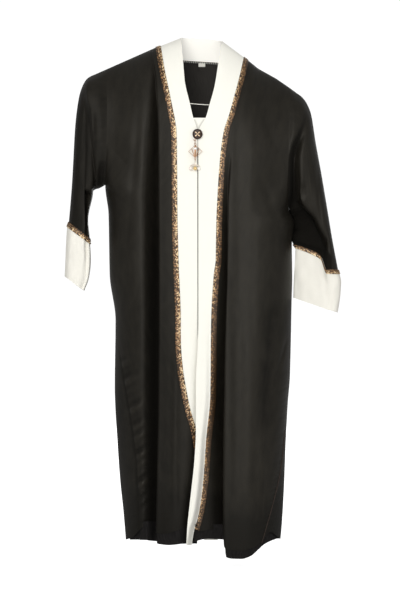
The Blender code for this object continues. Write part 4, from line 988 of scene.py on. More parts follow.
def braid_finish(name, copper, bead):
    """Braid or stitches from a dark to a pale thread by their own tone, with painted shade in the gaps
    between them.
    """
    material, tree, shader = finish(name, copper, 0.42, Metallic=0.20, Specular_IOR_Level=0.4)
    dark = times(copper, 0.14)
    ramp = node(tree, "ValToRGB", {"Fac": marked(tree, "tone")})
    stops = ((0.08, dark), (0.30, times(copper, 0.6)), (0.55, times(copper, 1.3)), (0.80, times(bead, 1.0)))
    for _ in stops[2:]:
        ramp.color_ramp.elements.new(0.5)
    for element, (at, colour) in zip(ramp.color_ramp.elements, stops):
        element.position = at
        element.color = colour
    # Painted shade: the lower a point of the stitches, the darker it is
    gap_shade = node(tree, "MapRange", {"Value": marked(tree, "thread"), "From Min": 0.05, "From Max": 0.55})
    blend(tree, shader, gap_shade.outputs[0], dark, ramp.outputs[0])
    relief(tree, shader, (noise(tree, on_map(tree, 900, 900), 3.0), 0.0003, 0.4))
    return material


def plain_finish(name, colour, roughness, **sockets):
    """A smooth finish with a faint uneven gloss, on the object's own place."""
    material, tree, shader = finish(name, colour, roughness, **sockets)
    cloud = noise(tree, node(tree, "TexCoord").outputs["Object"], 3.0, 900.0)
    rough = spread_to(tree, cloud, roughness * 0.8, min(1.0, roughness * 1.3))
    tree.links.new(rough, shader.inputs["Roughness"])
    relief(tree, shader, (cloud, 0.00003, 0.3))
    return material


def button_finish(dark, inlay):
    """Gloss black button whose petals, marked by the attribute "inlay", are pale gold."""
    material, tree, shader = finish("dark_button", dark, 0.34, Specular_IOR_Level=0.2, Coat_Weight=0.0)
    mark = marked(tree, "inlay")
    blend(tree, shader, mark, (*dark, 1.0), (*inlay, 1.0))
    tree.links.new(reckon(tree, "MULTIPLY", mark, 0.3), shader.inputs["Metallic"])
    return material


FINISHES = {}


def finishes():
    """Every finish of the robe, made once from the colours that are set."""
    c = bpy.context.scene.robe_colours
    if not FINISHES:
        FINISHES.update(
            satin=satin_finish(c.satin),
            matte=matte_finish("black_matte", c.matte, 260, 2.0),
            # The inner side: the matte side made lighter, painted light for the shade inside the hollow
            inner=matte_finish("black_inner_lightened", c.inner),
            # The bands, tab and tag glow a little: painted light that evens out their shading
            ivory=ivory_finish("ivory_cloth", c.ivory, 0.10),
            cuff=ivory_finish("ivory_cuff", c.cuff),
            braid=braid_finish("copper_braid", c.copper, c.bead),
            stitch=braid_finish("neck_stitches", (0.03, 0.028, 0.026), c.ivory),
            # The collar: a lighter ivory that glows more, painted light for the shaded inside of the neck
            collar=ivory_finish("ivory_collar_painted_light", (0.97, 0.955, 0.90), 0.22),
            cord=matte_finish("seam_cord", (0.034, 0.025, 0.021)),
            pale=plain_finish("pale_metal", (0.86, 0.78, 0.68), 0.35, Metallic=0.4),
            gold=plain_finish("gold_metal", c.gold, 0.38, Metallic=0.6),
            stone=plain_finish("clear_stone", (0.95, 0.93, 0.90), 0.10, IOR=1.6, Transmission_Weight=0.15),
            button=button_finish(c.button, c.inlay),
            pearl_gold=plain_finish("gold_pearl", (0.70, 0.50, 0.22), 0.22, Coat_Weight=0.6, Metallic=0.1),
            pearl_white=plain_finish("white_pearl", (0.86, 0.84, 0.80), 0.22, Coat_Weight=0.6),
            pearl_rose=plain_finish("rose_pearl", (0.88, 0.79, 0.72), 0.22, Coat_Weight=0.6),
        )
    return FINISHES


def move_in(points, edge, distance):
    """Moves an edge column of a grid towards its neighbour."""
    points = points.copy()
    inside = 1 if edge == 0 else -2
    points[:, edge] += unit(points[:, inside] - points[:, edge]) * distance
    return points


def make_front(half, looks):
    """One satin front from its side seam to its band."""
    x, y = satin_grid(half)
    points = front_surface(half, x, y)
    normals = seamed_normals(points, x)
    points = move_in(points, -1 if half is LEFT else 0, SEAM / 4)
    points[0, :, 1] -= SEAM / 4
    piece = wall(f"front_{half.name}_cloth", points, sizes().satin, looks, normals)
    # Painted shade and highlight on the satin
    mark_points(piece, "dull", shade_painted_on(half, x, y))
    # Painted shade: the satin darkens towards its hem
    return mark_points(piece, "hem", ease((y - y[-1:] + HEM_SHADE_RISE) / HEM_SHADE_RISE))


def make_band(half, looks):
    """One ivory front band from its seam to its free edge, and on below the hem."""
    sewn = BAND_LEFT if half is LEFT else BORDER_RIGHT

    def columns(y):
        return lanes(y, (sewn, half.edge), (18,))

    x, y = settle(columns, RIDGE, half.hem)
    below = y[-1:] + (half.foot - y[-1:]) * np.linspace(0, 1, 13)[1:, None]
    x, y = np.concatenate([x, columns(below)]), np.concatenate([y, below])
    points = front_surface(half, x, y, fine=False)
    normals = seamed_normals(points, x)
    across = 20 * np.linspace(0, 1, points.shape[1])
    soft = 0.10 * waves(x, y, 31 + half.sign, 4, 14, 40, 0.4)
    soft = soft + 0.12 * puckers(across, y, 5, 8, 41 + half.sign)
    points = points + normals * (soft * ease(y / 90 - 0.6) * STEP)[..., None]
    points = move_in(points, 0, SEAM)
    points[0, :, 1] -= SEAM / 2
    return wall(f"band_{half.name}_cloth", points, sizes().band, looks, normals)


def round_side(half, y, parts):
    """The back's places round a side, from its seam to behind. Their imaginary part is 1 in front."""
    inside = -half.sign * (side_seam(half, y) - half.outline(y))
    start = np.arccos(1 - np.clip(inside / SIDE_ROUND, 0, 1))
    turn = start + (-math.pi / 2 - start) * parts
    return half.outline(y) - half.sign * SIDE_ROUND * (1 - np.cos(turn)) + 1j * np.sign(turn)


def make_back(looks):
    """The back, from the left side seam round behind to the right one."""
    fine = np.interp(np.linspace(0, len(BACK_COLUMNS) - 1, (len(BACK_COLUMNS) - 1) * 4 + 1),
                     np.arange(len(BACK_COLUMNS)), BACK_COLUMNS)
    turns = np.linspace(0, 1, 25)[:-1]
    count = len(turns)

    def columns(y):
        y = np.broadcast_to(y, (len(y), 2 * count + len(fine)))
        behind_y = y[:, count:-count]
        first, last = OUTLINE_LEFT(behind_y) + SIDE_ROUND, OUTLINE_RIGHT(behind_y) - SIDE_ROUND
        plain = first + (last - first) * np.linspace(0, 1, len(fine))
        across = fine + (plain - fine) * ease((behind_y - 70) / 200)
        return np.concatenate([round_side(LEFT, y[:, :count], turns), across - 1j,
                               round_side(RIGHT, y[:, -count:], turns[::-1])], axis=1)

    def top(x):
        neck = (x.real > NECK_COLUMNS[0]) & (x.real < NECK_COLUMNS[-1])
        return np.where(neck, NECKLINE(x.real), RIDGE(x.real))

    def hem(x):
        return np.where(x.imag >= 0, by_side(x.real, lambda half: half.hem(x.real)), BACK_HEM)

    places, y = settle(columns, top, hem)
    x, in_front = places.real, places.imag > 0
    beside = by_side(x, lambda half: np.abs(x - side_seam(half, y)))
    ripple = sizes().ripple * waves(x, y, 8, 6, 10, 30, 0.05) * ease((y - 80) / 60) * ease(beside / 8)
    behind = back_out(x, y) + furrows(SOFT_BACK, x, y) + ripple
    before = by_side(x, lambda half: beside_front(half, x, y))
    points = place(x, y, np.where(in_front, before, behind))
    normals = -grid_normals(points)
    normals[0] = ridge_normals(x[0])
    on_neck = (x[0] > NECK_COLUMNS[0]) & (x[0] < NECK_COLUMNS[-1])
    normals[0, on_neck] = [0.0, 1.0, 0.0]
    points[0, ~on_neck, 1] += SEAM / 4
    points[0, on_neck, 2] -= SEAM / 2
    piece = wall("back_cloth", points, sizes().satin, looks, normals)
    # Painted shade: the satin darkens towards its hem
    mark_points(piece, "hem", ease((y - y[-1:] + HEM_SHADE_RISE) / HEM_SHADE_RISE))
    # Painted shade and highlight where the back comes round to the front
    return mark_points(piece, "dull", np.where(in_front, by_side(x, lambda half: shade_painted_on(half, x, y)), 0))


def make_collar(looks):
    """The band's stretch round the back of the neck, from its sewn edge up to its rounded free edge."""
    sewn_x = COLLAR_EDGE[:, 0]
    inside = (sewn_x > sewn_x[0]) & (sewn_x < sewn_x[-1])
    sewn_y = np.where(inside, NECKLINE(sewn_x), RIDGE(sewn_x))
    sewn = place(sewn_x, sewn_y, back_out(sewn_x, sewn_y))
    free = place(*COLLAR_EDGE[:, 1:].T)
    sewn[[0, -1], 1] = 0
    free[[0, -1], 1] = 0
    station = np.arange(len(sewn_x))
    fine = np.linspace(0, len(sewn_x) - 1, (len(sewn_x) - 1) * 8 + 1)
    sewn, free = through(station, sewn, fine), through(station, free, fine)
    parts = np.linspace(0, 1, 17)[:, None, None]
    points = sewn + (free - sewn) * parts
    points[..., 1] += 0.002 * np.sin(parts[..., 0] * math.pi) * np.sin(fine / fine[-1] * math.pi) ** 0.3
    normals = grid_normals(points)
    normals = normals * np.sign(normals[8, 40, 1])
    points[0, :, 2] += SEAM / 2
    points[:, 0, 1] += SEAM
    points[:, -1, 1] += SEAM
    return wall("collar_cloth", points, sizes().band, looks, normals)


def ring_front(half, ring, number=SQUARE_RING):
    """Places, heights and depths of a ring, from its outer to its inner corner, at the coarse columns.

    The front's depth follows a superellipse, (1 - |2k - 1|^n)^(1/n) over the column k, where n grows from 2
    at the armhole with the ring's number.
    """
    k = RING_COLUMNS
    fold, under = k[half.fold_at], k[half.fold_at + 1]
    stretch = np.where(k <= fold, 0, np.where(k >= under, 2, 1))
    part = np.where(k <= fold, k / fold, np.where(k >= under, (k - under) / (1 - under), 0))
    ends = np.array([ring.outer, ring.fold, ring.under, ring.inner], float)
    flat = ends[stretch] + (ends[np.minimum(stretch + 1, 3)] - ends[stretch]) * part[:, None]
    oval = 2 * np.sqrt(k * (1 - k))
    n = 2 + (half.flatter - 2) * min(1, number / SQUARE_RING)
    flatter = (1 - np.abs(2 * k - 1) ** n) ** (1 / n)
    out = ring.front * flatter - np.where(stretch == 2, ring.step * (1.35 - 0.7 * part), 0) * np.sqrt(oval)
    out[half.fold_at] -= ring.crease * 0.12
    behind = ring.aside * k ** 4
    return np.concatenate([flat, (out - behind)[:, None], (ring.back * oval + behind)[:, None]], axis=1)


def armhole(half, part):
    """Places, heights and both depths of the armhole's own points, at parts of its height."""
    y = half.arm_top + part * (half.arm_foot - half.arm_top)
    x = half.outline(y)
    return x, y, front_out(x, y), -back_out(x, y)


def tube(table):
    """Fine rings through a table of coarse ones, front and back in one loop, and their stations."""
    fine = np.linspace(0, len(table) - 1, (len(table) - 1) * TUBE_STEPS + 1)
    table = through(np.arange(len(table)), table, fine)
    turn = np.arccos(1 - 2 * RING_COLUMNS)
    back = np.concatenate([table[..., :2], -table[..., 3:]], axis=-1)[:, -2:0:-1]
    loop = np.concatenate([table[..., :3], back], axis=1)
    station = np.concatenate([turn, 2 * math.pi - turn[-2:0:-1]])
    station = np.concatenate([station[-2:] - 2 * math.pi, station, station[:2] + 2 * math.pi])
    loop = np.concatenate([loop[:, -2:], loop, loop[:, :2]], axis=1)
    return np.moveaxis(through(station, np.moveaxis(loop, 1, 0), TUBE_TURN), 0, 1), fine


def tube_normals(points, row):
    """Outward normals of a tube, by the side that a point in the middle of its front faces."""
    normals = grid_normals(points, True)
    return normals * np.sign(-normals[row, TUBE_COLUMNS // 4, 1])


def make_sleeve(half, looks):
    """A sleeve from the armhole down to the cuff, a closed tube of smooth rings."""
    rings = [ring_front(half, ring, i) for i, ring in enumerate(half.sleeve)]
    loops, fine = tube(np.stack([np.stack(armhole(half, RING_COLUMNS), axis=1)] + rings))
    x, y, before, behind = armhole(half, (1 - np.cos(TUBE_TURN)) / 2)
    rim = np.stack([x, y, np.where(TUBE_TURN <= math.pi, before, -behind)], axis=-1)
    loops = loops + (rim - loops[0]) * (1 - ease(fine))[:, None, None]
    x, y, out = np.moveaxis(loops, -1, 0)
    front = ease(out / 6)
    fade = ease(fine / 0.8)[:, None] * ease((fine[-1] - fine) / 0.5)[:, None]
    if half is RIGHT:
        near = bell((x - ARM_FURROW(y)) / ARM_FURROW_WIDE) * ease((y - ARM_FURROW_TOP) / 8)
        near = near * ease((ARM_FURROW_FOOT - y) / 6)
        out = out - ARM_FURROW_DEEP(y) * near * front * ease(fine)[:, None]
    out = out - furrows(half.sleeve_detail, x, y) * front * fade
    out = out + sizes().ripple * waves(x, y, 55 + half.sign, 5, 7, 20, 0.3) * fade * np.sign(out)
    # Painted shade: on the left sleeve by its table, on the right in the armhole's valley and on the layer
    # under the sleeve
    dull = furrows(PAINTED_SHADE_SLEEVE_LEFT, x, y)
    if half is RIGHT:
        dull = ease((x - ARM_SHADE_FROM(y)) / 3) * ease((UNDER_SLEEVE(y) - x) / 2.5)
        dull = dull * ease((y - ARM_SHADE_TOP) / 40) * ease((out + 24) / 8)
    points = place(x, y, out)
    normals = tube_normals(points, len(fine) // 2)
    piece = wall(f"sleeve_{half.name}_cloth", points, sizes().satin, looks, normals, closed=True)
    return mark_points(piece, "dull", dull)


def cuff_grid(half):
    """The cuff's fine rings in metres, from the sleeve's end down, their normals and their stations."""
    loops, fine = tube(np.stack([ring_front(half, ring) for ring in (half.sleeve[-1], *half.cuff)]))
    x, y, out = np.moveaxis(loops, -1, 0)
    fade = ease(fine - 0.6)[:, None]
    points = place(x, y, out + 0.35 * waves(x, y, 65 + half.sign, 5, 9, 22, 0.9) * fade * np.sign(out))
    return points, tube_normals(points, 20), fine


def make_cuff(half, looks):
    """An ivory cuff, a closed tube from the sleeve's end down."""
    points, normals, _ = cuff_grid(half)
    points[0] += unit(points[1] - points[0]) * SEAM
    return wall(f"cuff_{half.name}_cloth", points, sizes().band, looks, normals, closed=True)


def braid_stitches(u, v, pale_edge, seed, fold_shade=0.0):
    """Height and tone of the braid's stitches, both from 0 to 1, at u across (0 to 1) and v metres along.

    Five columns of domed oval stitches lean in chevrons. Every other stitch is paler, each has a tone of its
    own drawn at random, and all are paler towards the edge beside the ivory cloth.
    """
    column = np.minimum((u * 5).astype(int), 4)
    across = u * 5 - column - 0.5
    run = v / STITCH + 0.5 * np.where(column % 2, -1, 1) * across + 0.5 * (column // 2)
    row = np.floor(run).astype(int)
    along = run - row - 0.5
    high = np.sqrt(np.clip(1 - (1.9 * across) ** 2, 0, 1)) * np.clip(1 - (2 * along) ** 4, 0, 1)
    drawn = np.random.default_rng(seed).random((row.max() + 2, 5))
    towards = (column + 0.5) / 5 if pale_edge else 1 - (column + 0.5) / 5
    pale = ease(1.4 * drawn[row, column] - 0.2)
    # Painted shade: the last term darkens every tone where the braid lies in a fold
    tone = np.clip(0.92 * pale + 0.16 * ((row + column) % 2) + 0.65 * (towards - 0.5) - 0.30 - fold_shade, 0, 1)
    return high, tone


def make_braid(name, points, normals, looks, pale_edge, seed, closed=False, fold_shade=0.0):
    """A braid on a strip of cloth: the strip's points moved out, with the stitches' relief on top.

    points runs along its columns, and its rows run across the braid.
    """
    rows = points.shape[0]
    u = np.linspace(0, 1, rows)[:, None]
    v = arc(looped(points) if closed else points, 1)[rows // 2]
    if closed:
        total = v[-1]
        v = v[:-1] * (round(total / STITCH) * STITCH / total)
    high, tone = braid_stitches(u, v[None, :], pale_edge, seed, fold_shade)
    low, top = sizes().braid * 0.45, sizes().braid * 1.15
    outer = points + normals * (SEAM * 2.2 + low + (top - low) * high)[..., None]
    piece = wall(name, outer, BRAID_BASE, looks, normals, closed=closed)
    return mark_points(mark_points(piece, "thread", high), "tone", tone)


def front_braid(half, looks):
    """The braid that runs down beside a front band, along the satin's own lane."""
    x, y = settle(lambda v: lanes(v, LANES[half.name], (16,)), RIDGE, half.hem, *BRAID_ROWS)
    points = front_surface(half, x, y)
    normals = seamed_normals(points, x)
    points[0, :, 1] -= SEAM / 2
    # Painted shade on the right braid, deeper where it turns into the fold's valley
    fold_shade = 0.0 if half is LEFT else 0.12 + 0.25 * ease((y.T - 290) / 60) * (1 - 0.75 * ease((y.T - 440) / 40))
    points, normals = (grid.transpose(1, 0, 2) for grid in (points, normals))
    name = f"braid_{half.name}_woven"
    return make_braid(name, points, normals, looks, half is LEFT, 80 + half.sign, fold_shade=fold_shade)


def cuff_braid(half, looks):
    """The braid round the top of a cuff."""
    points, normals, fine = cuff_grid(half)
    points[0] -= unit(points[1] - points[0]) * 0.0012
    rows = np.interp(np.linspace(0.0, 1.0, 17), fine, np.arange(len(fine)))
    turn = np.linspace(0, TUBE_COLUMNS, 5 * TUBE_COLUMNS, endpoint=False)

    def finer(grid):
        grid = np.moveaxis(through(np.arange(len(fine)), looped(grid), rows), 1, 0)
        return np.moveaxis(through(np.arange(TUBE_COLUMNS + 1), grid, turn), 0, 1)

    return make_braid(f"braid_cuff_{half.name}_woven", finer(points), unit(finer(normals)), looks, True,
                      90 + half.sign, closed=True)


def seam_cord(looks):
    """The right side seam's cord, a fine welt that shows as a thin brown line from the knee to the hem."""
    part = np.linspace(0, 1, 320)[:, None]
    across = np.linspace(-1, 1, 9)[None, :]
    y = CORD_TOP + CORD_LONG * part + 0 * across
    x = SEAM_RIGHT(y) + CORD_HALF * across
    points = front_surface(RIGHT, x, y)
    normals = grid_normals(points)
    high = CORD_HIGH * np.sqrt(1 - 0.98 * across ** 2) * ease(12 * part) * np.ones_like(x)
    return wall("seam_cord", points + normals * (high + 0.0002)[..., None], FINE_BASE, looks, normals)


def neck_stitches(looks):
    """The row of stitches that holds the collar to the back: pale threads over black ones."""
    x = np.linspace(*STITCHED, 640)[None, :]
    part = np.linspace(0, 1, 11)[:, None]
    y = NECKLINE(x) + 0.2 + STITCHES_WIDE * part
    points = place(x * np.ones_like(part), y, back_out(x, y) + STITCHES_OUT)
    run = arc(points, 1)[5] / STITCH + 0.35 * part
    high = np.abs(np.sin(run * math.pi)) * np.sin(np.clip(part, 0.02, 0.98) * math.pi) ** 0.4
    drawn = np.random.default_rng(7).random(int(run.max()) + 2)[run.astype(int)]
    tone = np.clip((0.75 + 0.4 * drawn) * (run.astype(int) % 2) + 0.3 * drawn * (1 - part), 0, 1)
    normals = -grid_normals(points)
    normals = normals * np.sign(-normals[5, 320, 1])
    raised = points + normals * (STITCHES_HIGH * high)[..., None]
    piece = wall("neck_stitches", raised, FINE_BASE, looks, normals)
    return mark_points(mark_points(piece, "thread", high), "tone", tone)


def make_strip(half, looks):
    """A matte strip behind the satin's lower edge, which shows below it, with short upright puckers."""
    x = satin_grid(half)[0][-1]
    if half is LEFT:
        x = np.concatenate([np.linspace(half.strip_end, x[0], 24)[:-1], x[:-4]])
    else:
        x = np.concatenate([x, np.linspace(x[-1], half.strip_end, 24)[1:]])
    x = np.interp(np.linspace(0, len(x) - 1, len(x) * 2), np.arange(len(x)), x)
    upper = half.hem(x) - UNDER_LAP
    y = upper + (half.strip(x) - upper) * np.linspace(0, 1, 14)[:, None]
    by_band = np.clip((x[0] + 10 - x) / 2, 0, 1) * (half is RIGHT)
    x = np.broadcast_to(x, y.shape).copy()
    if half is RIGHT:
        x[:, 0] = BAND_RIGHT(y[:, 0]) + 0.4
    points = front_surface(half, x, y, fine=False)
    normals = grid_normals(points)
    by_seam = np.clip(np.maximum(SEAM_LEFT(y) - x, x - SEAM_RIGHT(y)) / 2, 0, 1)
    under = sizes().satin + UNDER_GAP + ROUND_GAP * np.maximum(by_seam, by_band)
    streak = 0.28 * STEP * waves(x, y, 71 + half.sign, 4, 2.6, 6.5, 0.35) * ease((y - half.hem(x)) / 5)
    return wall(f"hem_strip_{half.name}_cloth", points - normals * (under + np.abs(streak))[..., None],
                sizes().satin, looks, normals)


def box_grid(box):
    """Places and heights over a box."""
    return np.meshgrid(np.linspace(box.left, box.right, 41), np.linspace(box.top, box.foot, 41))


def make_tab(looks):
    """The ivory tab behind the button, with painted shadow where it runs under the bands."""
    x, y = box_grid(TAB)
    piece = wall("under_tab_cloth", place(x, y, front_out(x, y)), sizes().satin, looks,
                 lift=-(sizes().band + TAB_GAP))
    beside = np.minimum(x - EDGE_LEFT(y), EDGE_RIGHT(y) - x)
    # Painted shadow of the bands at the tab's sides
    return mark_points(piece, "dull", 0.75 * (1 - ease(beside / 3.2)) * ease((y - TAB.top - 0.8) / 1.5))


def make_tag(looks):
    """The blank tag at the back of the neck."""
    x, y = box_grid(TAG)
    return wall("neck_tag_cloth", place(x, y, back_out(x, y) + TAG_OUT), TAG_THICK, looks)


def make_tape(looks):
    """The narrow hanging tape across the neck opening, behind both bands."""
    x = np.linspace(TAPE.left, TAPE.right, 61)
    part = np.linspace(0, 1, 61)
    middle = TAPE.top + (TAPE.foot - TAPE.top) * part + 0.35 * np.sin(part * math.pi)
    y = middle + np.linspace(-TAPE_WIDE / 2, TAPE_WIDE / 2, 7)[:, None]
    return wall("hanging_tape_cloth", place(x * np.ones_like(y), y, TAPE_OUT), TAPE_THICK, looks)


def face_out(mesh):
    """Turns the faces of a closed mesh outwards."""
    shape = bmesh.new()
    shape.from_mesh(mesh)
    bmesh.ops.recalc_face_normals(shape, faces=shape.faces)
    shape.to_mesh(mesh)
    shape.free()


def turned(name, at, outline, sides, looks):
    """A round piece that faces the front: an outline of (radius, depth) pairs turned about its axis."""
    angle = np.linspace(0, 2 * math.pi, sides, endpoint=False)
    radius, out = np.array(outline, float).T
    points = place(at[0] + radius[:, None] * np.cos(angle), at[1] + radius[:, None] * np.sin(angle),
                   out[:, None] * np.ones(sides))
    last = len(radius) * sides
    verts = np.concatenate([points.reshape(-1, 3), points[[0, -1]].mean(axis=1)])
    index = looped(np.arange(last).reshape(-1, sides))
    caps = np.concatenate([np.stack([np.full(sides, last), index[0, :-1], index[0, 1:]], axis=-1),
                           np.stack([np.full(sides, last + 1), index[-1, 1:], index[-1, :-1]], axis=-1)])
    piece = solid(name, verts, cells(index).reshape(-1, 4).tolist() + caps.tolist(), looks)
    face_out(piece.data)
    return piece


def make_button(looks):
    """The button: its outline turned about its axis, with four raised petals and a dot on its face."""
    station = np.linspace(0, len(BUTTON_TURN) - 1, 73)
    outline = through(np.arange(len(BUTTON_TURN)), np.array(BUTTON_TURN, float), station)
    piece = turned("button_cast", BUTTON, outline, 96, looks)
    mesh = piece.data
    co = np.zeros(len(mesh.vertices) * 3)
    mesh.vertices.foreach_get("co", co)
    co = co.reshape(-1, 3)
    middle = place(*BUTTON, 43.3)
    dx, dz = (co[:, 0] - middle[0]) / STEP, (co[:, 2] - middle[2]) / STEP
    radius, angle = np.hypot(dx, dz), np.arctan2(dz, dx)
    sideways = (np.cos(2 * angle) / 0.55) ** 2 * np.clip(radius / 2.0, 0.35, 1)
    petal = 1 - ((radius - 1.9) / 1.35) ** 2 - sideways
    raised = np.maximum(petal, 0.6 * (1 - (radius / 0.6) ** 2))
    on_face = co[:, 1] < -BUTTON_FACE * STEP
    co[:, 1] -= 0.12 * STEP * np.clip(raised, 0, 1) * on_face
    mesh.vertices.foreach_set("co", co.ravel())
    layer = mesh.attributes.new("inlay", "FLOAT", "POINT")
    layer.data.foreach_set("value", (np.clip(raised * 2, 0, 1) * on_face).astype(np.float32))
    mesh.update()
    return piece


def make_ring(name, row, looks):
    """A ring of round wire: a circle carried round an oval."""
    turn = np.linspace(0, 2 * math.pi, 48, endpoint=False)[:, None]
    spin = np.linspace(0, 2 * math.pi, 16, endpoint=False)[None, :]
    reach = WIRE * np.cos(spin)
    high = (row.long + reach) * np.cos(turn)
    wide = (row.wide + reach) * np.sin(turn)
    off = WIRE * np.sin(spin) * np.ones_like(turn)
    x, out = (off, wide) if row.upright else (wide, off)
    verts = place(row.x + x, row.y + high, CHARM_OUT + out).reshape(-1, 3)
    index = np.arange(48 * 16).reshape(48, 16)
    beside, after = np.roll(index, -1, axis=0), np.roll(index, -1, axis=1)
    faces = np.stack([index, beside, np.roll(beside, -1, axis=1), after], axis=-1).reshape(-1, 4)
    piece = solid(name, verts, faces.tolist(), looks)
    face_out(piece.data)
    return piece


def soft_copy(name, source, look):
    """A merged copy of a solid with its edges rounded."""
    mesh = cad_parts[source].data.copy()
    shape = bmesh.new()
    shape.from_mesh(mesh)
    bmesh.ops.remove_doubles(shape, verts=shape.verts, dist=1e-6)
    bmesh.ops.dissolve_limit(shape, angle_limit=math.radians(2), verts=shape.verts, edges=shape.edges)
    bmesh.ops.bevel(shape, geom=list(shape.edges), offset=SOFT_EDGE, segments=3, affect="EDGES",
                    clamp_overlap=True)
    bmesh.ops.recalc_face_normals(shape, faces=shape.faces)
    shape.to_mesh(mesh)
    shape.free()
    mesh.materials.clear()
    mesh.materials.append(look)
    mesh.shade_smooth()
    return linked(name, mesh)


class ROBE_OT_fronts(bpy.types.Operator):
    """Make both satin fronts"""

    bl_idname = "robe.fronts"
    bl_label = "Fronts"

    def execute(self, context):
        f = finishes()
        for half in HALVES:
            hang(make_front(half, (f["satin"], f["inner"])), "black_satin", f"front_{half.name}")
        dress(seam_cord((f["cord"],)), "robe", "black_satin")
        return {"FINISHED"}


class ROBE_OT_back(bpy.types.Operator):
    """Make the satin back"""

    bl_idname = "robe.back"
    bl_label = "Back"

    def execute(self, context):
        f = finishes()
        hang(make_back((f["satin"], f["inner"])), "black_satin", "back")
        return {"FINISHED"}


class ROBE_OT_bands(bpy.types.Operator):
    """Make the ivory front bands and the collar"""

    bl_idname = "robe.bands"
    bl_label = "Bands"

    def execute(self, context):
        f = finishes()
        for half in HALVES:
            hang(make_band(half, (f["ivory"],)), "ivory_cloth", f"band_{half.name}")
        hang(make_collar((f["collar"],)), "ivory_cloth", "collar_back")
        return {"FINISHED"}


class ROBE_OT_sleeves(bpy.types.Operator):
    """Make both sleeves and cuffs"""

    bl_idname = "robe.sleeves"
    bl_label = "Sleeves and cuffs"

    def execute(self, context):
        f = finishes()
        for half in HALVES:
            hang(make_sleeve(half, (f["satin"], f["inner"])), "black_satin", f"sleeve_{half.name}")
            hang(make_cuff(half, (f["cuff"],)), "ivory_cloth", f"cuff_{half.name}")
        return {"FINISHED"}


class ROBE_OT_braids(bpy.types.Operator):
    """Make the copper braids along the bands and round the cuffs"""

    bl_idname = "robe.braids"
    bl_label = "Braids"

    def execute(self, context):
        f = finishes()
        for half in HALVES:
            hang(front_braid(half, (f["braid"],)), "copper_braid", f"braid_{half.name}")
            hang(cuff_braid(half, (f["braid"],)), "copper_braid", f"braid_cuff_{half.name}")
        return {"FINISHED"}


class ROBE_OT_small_cloth(bpy.types.Operator):
    """Make the strips under the hem, the tab, the tag and the hanging tape"""

    bl_idname = "robe.small_cloth"
    bl_label = "Small cloth"

    def execute(self, context):
        f = finishes()
        for half in HALVES:
            hang(make_strip(half, (f["matte"],)), "black_matte", f"hem_strip_{half.name}")
        hang(make_tab((f["ivory"],)), "ivory_cloth", "under_tab")
        hang(make_tag((f["ivory"],)), "ivory_cloth", "neck_tag")
        dress(make_tape((f["cuff"],)), "robe", "ivory_cloth", "hanging_tape")
        dress(neck_stitches((f["stitch"],)), "robe", "black_satin")
        return {"FINISHED"}


class ROBE_OT_charm(bpy.types.Operator):
    """Make the button and the hanging charm"""

    bl_idname = "robe.charm"
    bl_label = "Button and charm"

    def execute(self, context):
        f = finishes()
        dress(make_button((f["button"],)), "robe", "dark_button", "button")
        for name, row in WIRE_RINGS.items():
            dress(make_ring(f"{name}_wire", row, (f["gold"],)), row.body, "gold_metal", name)
        for name, body, look in (("charm_diamond", "charm", "gold"), ("drop_bail", "drop", "pale")):
            dress(soft_copy(f"{name}_cast", name, f[look]), body, "gold_metal", name)
        stone = turned("charm_crystal_cut", CRYSTAL_AT, CRYSTAL, 8, (f["stone"],))
        stone.data.shade_flat()
        dress(stone, "charm", "clear_stone", "charm_crystal")
        half_turn = np.linspace(0.01, math.pi - 0.01, 33)
        for name, row in PEARLS.items():
            outline = [(row.radius * math.sin(a), row.out - row.radius * math.cos(a)) for a in half_turn]
            pearl = turned(f"{name}_round", (row.x, row.y), outline, 48, (f[name],))
            dress(pearl, "drop", f"{name[6:]}_pearl", name)
        return {"FINISHED"}


def area_light(name, lamp, strength):
    """A large soft light that looks at the middle of the robe."""
    data = bpy.data.lights.new(name, "AREA")
    data.shape = "RECTANGLE"
    data.size, data.size_y = lamp.size
    data.energy = lamp.times * strength
    data.color = lamp.colour
    piece = linked(name, data)
    piece.location = lamp.where
    x, y, z = np.array(lamp.where) - (0.0, 0.0, lamp.aim)
    piece.rotation_euler = (math.atan2(math.hypot(x, y), z), 0.0, math.atan2(x, -y))


def make_floor():
    """The floor, which the camera sees as white."""
    paper, tree, shader = finish("pale_floor", (0.80, 0.80, 0.80), 0.9)
    shader.inputs["Emission Color"].default_value = (1.0, 1.0, 1.0, 1.0)
    glow = reckon(tree, "MULTIPLY", node(tree, "LightPath").outputs["Is Camera Ray"], 0.75)
    tree.links.new(glow, shader.inputs["Emission Strength"])
    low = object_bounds()[0][2] - FLOOR_GAP
    square = [(x * FLOOR_REACH, y * FLOOR_REACH, low) for x, y in ((-1, -1), (1, -1), (1, 1), (-1, 1))]
    solid("floor", square, [(0, 1, 2, 3)], (paper,))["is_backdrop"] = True


def make_room(scene, strength):
    """The white room: its light on the robe has a strength of its own, and the camera sees it as white."""
    world = scene.world or bpy.data.worlds.new("room")
    scene.world = world
    world.use_nodes = True
    tree = world.node_tree
    tree.nodes.clear()
    room, white = (node(tree, "Background", {"Color": (1.0, 1.0, 1.0, 1.0), "Strength": value}).outputs[0]
                   for value in (strength, 1.05))
    seen = node(tree, "LightPath").outputs["Is Camera Ray"]
    node(tree, "OutputWorld", {0: node(tree, "MixShader", {0: seen, 1: room, 2: white}).outputs[0]})


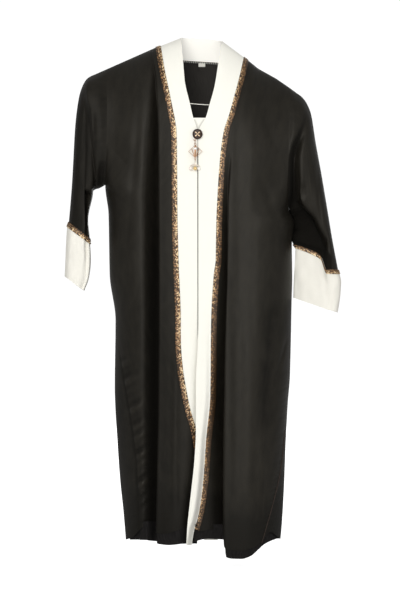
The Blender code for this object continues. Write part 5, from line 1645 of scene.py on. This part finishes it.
class ROBE_OT_stage(bpy.types.Operator):
    """Make the pale floor, the lights and the camera"""

    bl_idname = "robe.stage"
    bl_label = "Stage"

    def execute(self, context):
        scene = context.scene
        light = scene.robe_stage
        make_floor()
        make_room(scene, light.sky)
        for name, lamp in LAMPS.items():
            area_light(name, lamp, getattr(light, lamp.power))
        camera = linked("camera", bpy.data.cameras.new("camera"))
        camera.location = place(MIDDLE_X, LEVEL_Y, 0.0) - [0.0, VIEWER_M, 0.0]
        camera.rotation_euler = (math.pi / 2, 0.0, 0.0)
        camera.data.sensor_fit = "VERTICAL"
        camera.data.angle = 2 * math.atan(PICTURE_HIGH * STEP / 2 / VIEWER_M)
        scene.camera = camera
        scene.view_settings.view_transform = "Standard"
        return {"FINISHED"}


class ROBE_PT_panel(bpy.types.Panel):
    """The robe's pieces, sizes and colours"""

    bl_idname = "ROBE_PT_panel"
    bl_label = "Satin robe"
    bl_space_type = "VIEW_3D"
    bl_region_type = "UI"
    bl_category = "Robe"

    def draw(self, context):
        for group in (context.scene.robe_sizes, context.scene.robe_colours, context.scene.robe_stage):
            box = self.layout.box()
            for key in group.__annotations__:
                box.prop(group, key)
        for operator in OPERATORS:
            self.layout.operator(operator.bl_idname)


OPERATORS = (ROBE_OT_fronts, ROBE_OT_back, ROBE_OT_bands, ROBE_OT_sleeves, ROBE_OT_braids,
             ROBE_OT_small_cloth, ROBE_OT_charm, ROBE_OT_stage)
GROUPS = {"robe_sizes": RobeSizes, "robe_colours": RobeColours, "robe_stage": StageSettings}


def register():
    """Adds the classes and the scene's values."""
    for kind in (*GROUPS.values(), *OPERATORS, ROBE_PT_panel):
        bpy.utils.register_class(kind)
    for key, kind in GROUPS.items():
        setattr(bpy.types.Scene, key, PointerProperty(type=kind))


def unregister():
    """Takes them out again."""
    for key in GROUPS:
        delattr(bpy.types.Scene, key)
    for kind in reversed((*GROUPS.values(), *OPERATORS, ROBE_PT_panel)):
        bpy.utils.unregister_class(kind)


def main():
    """Registers the add-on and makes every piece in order."""
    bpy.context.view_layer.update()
    register()
    for name in ("fronts", "back", "bands", "sleeves", "braids", "small_cloth", "charm", "stage"):
        getattr(bpy.ops.robe, name)()


if __name__ == "__main__":
    main()
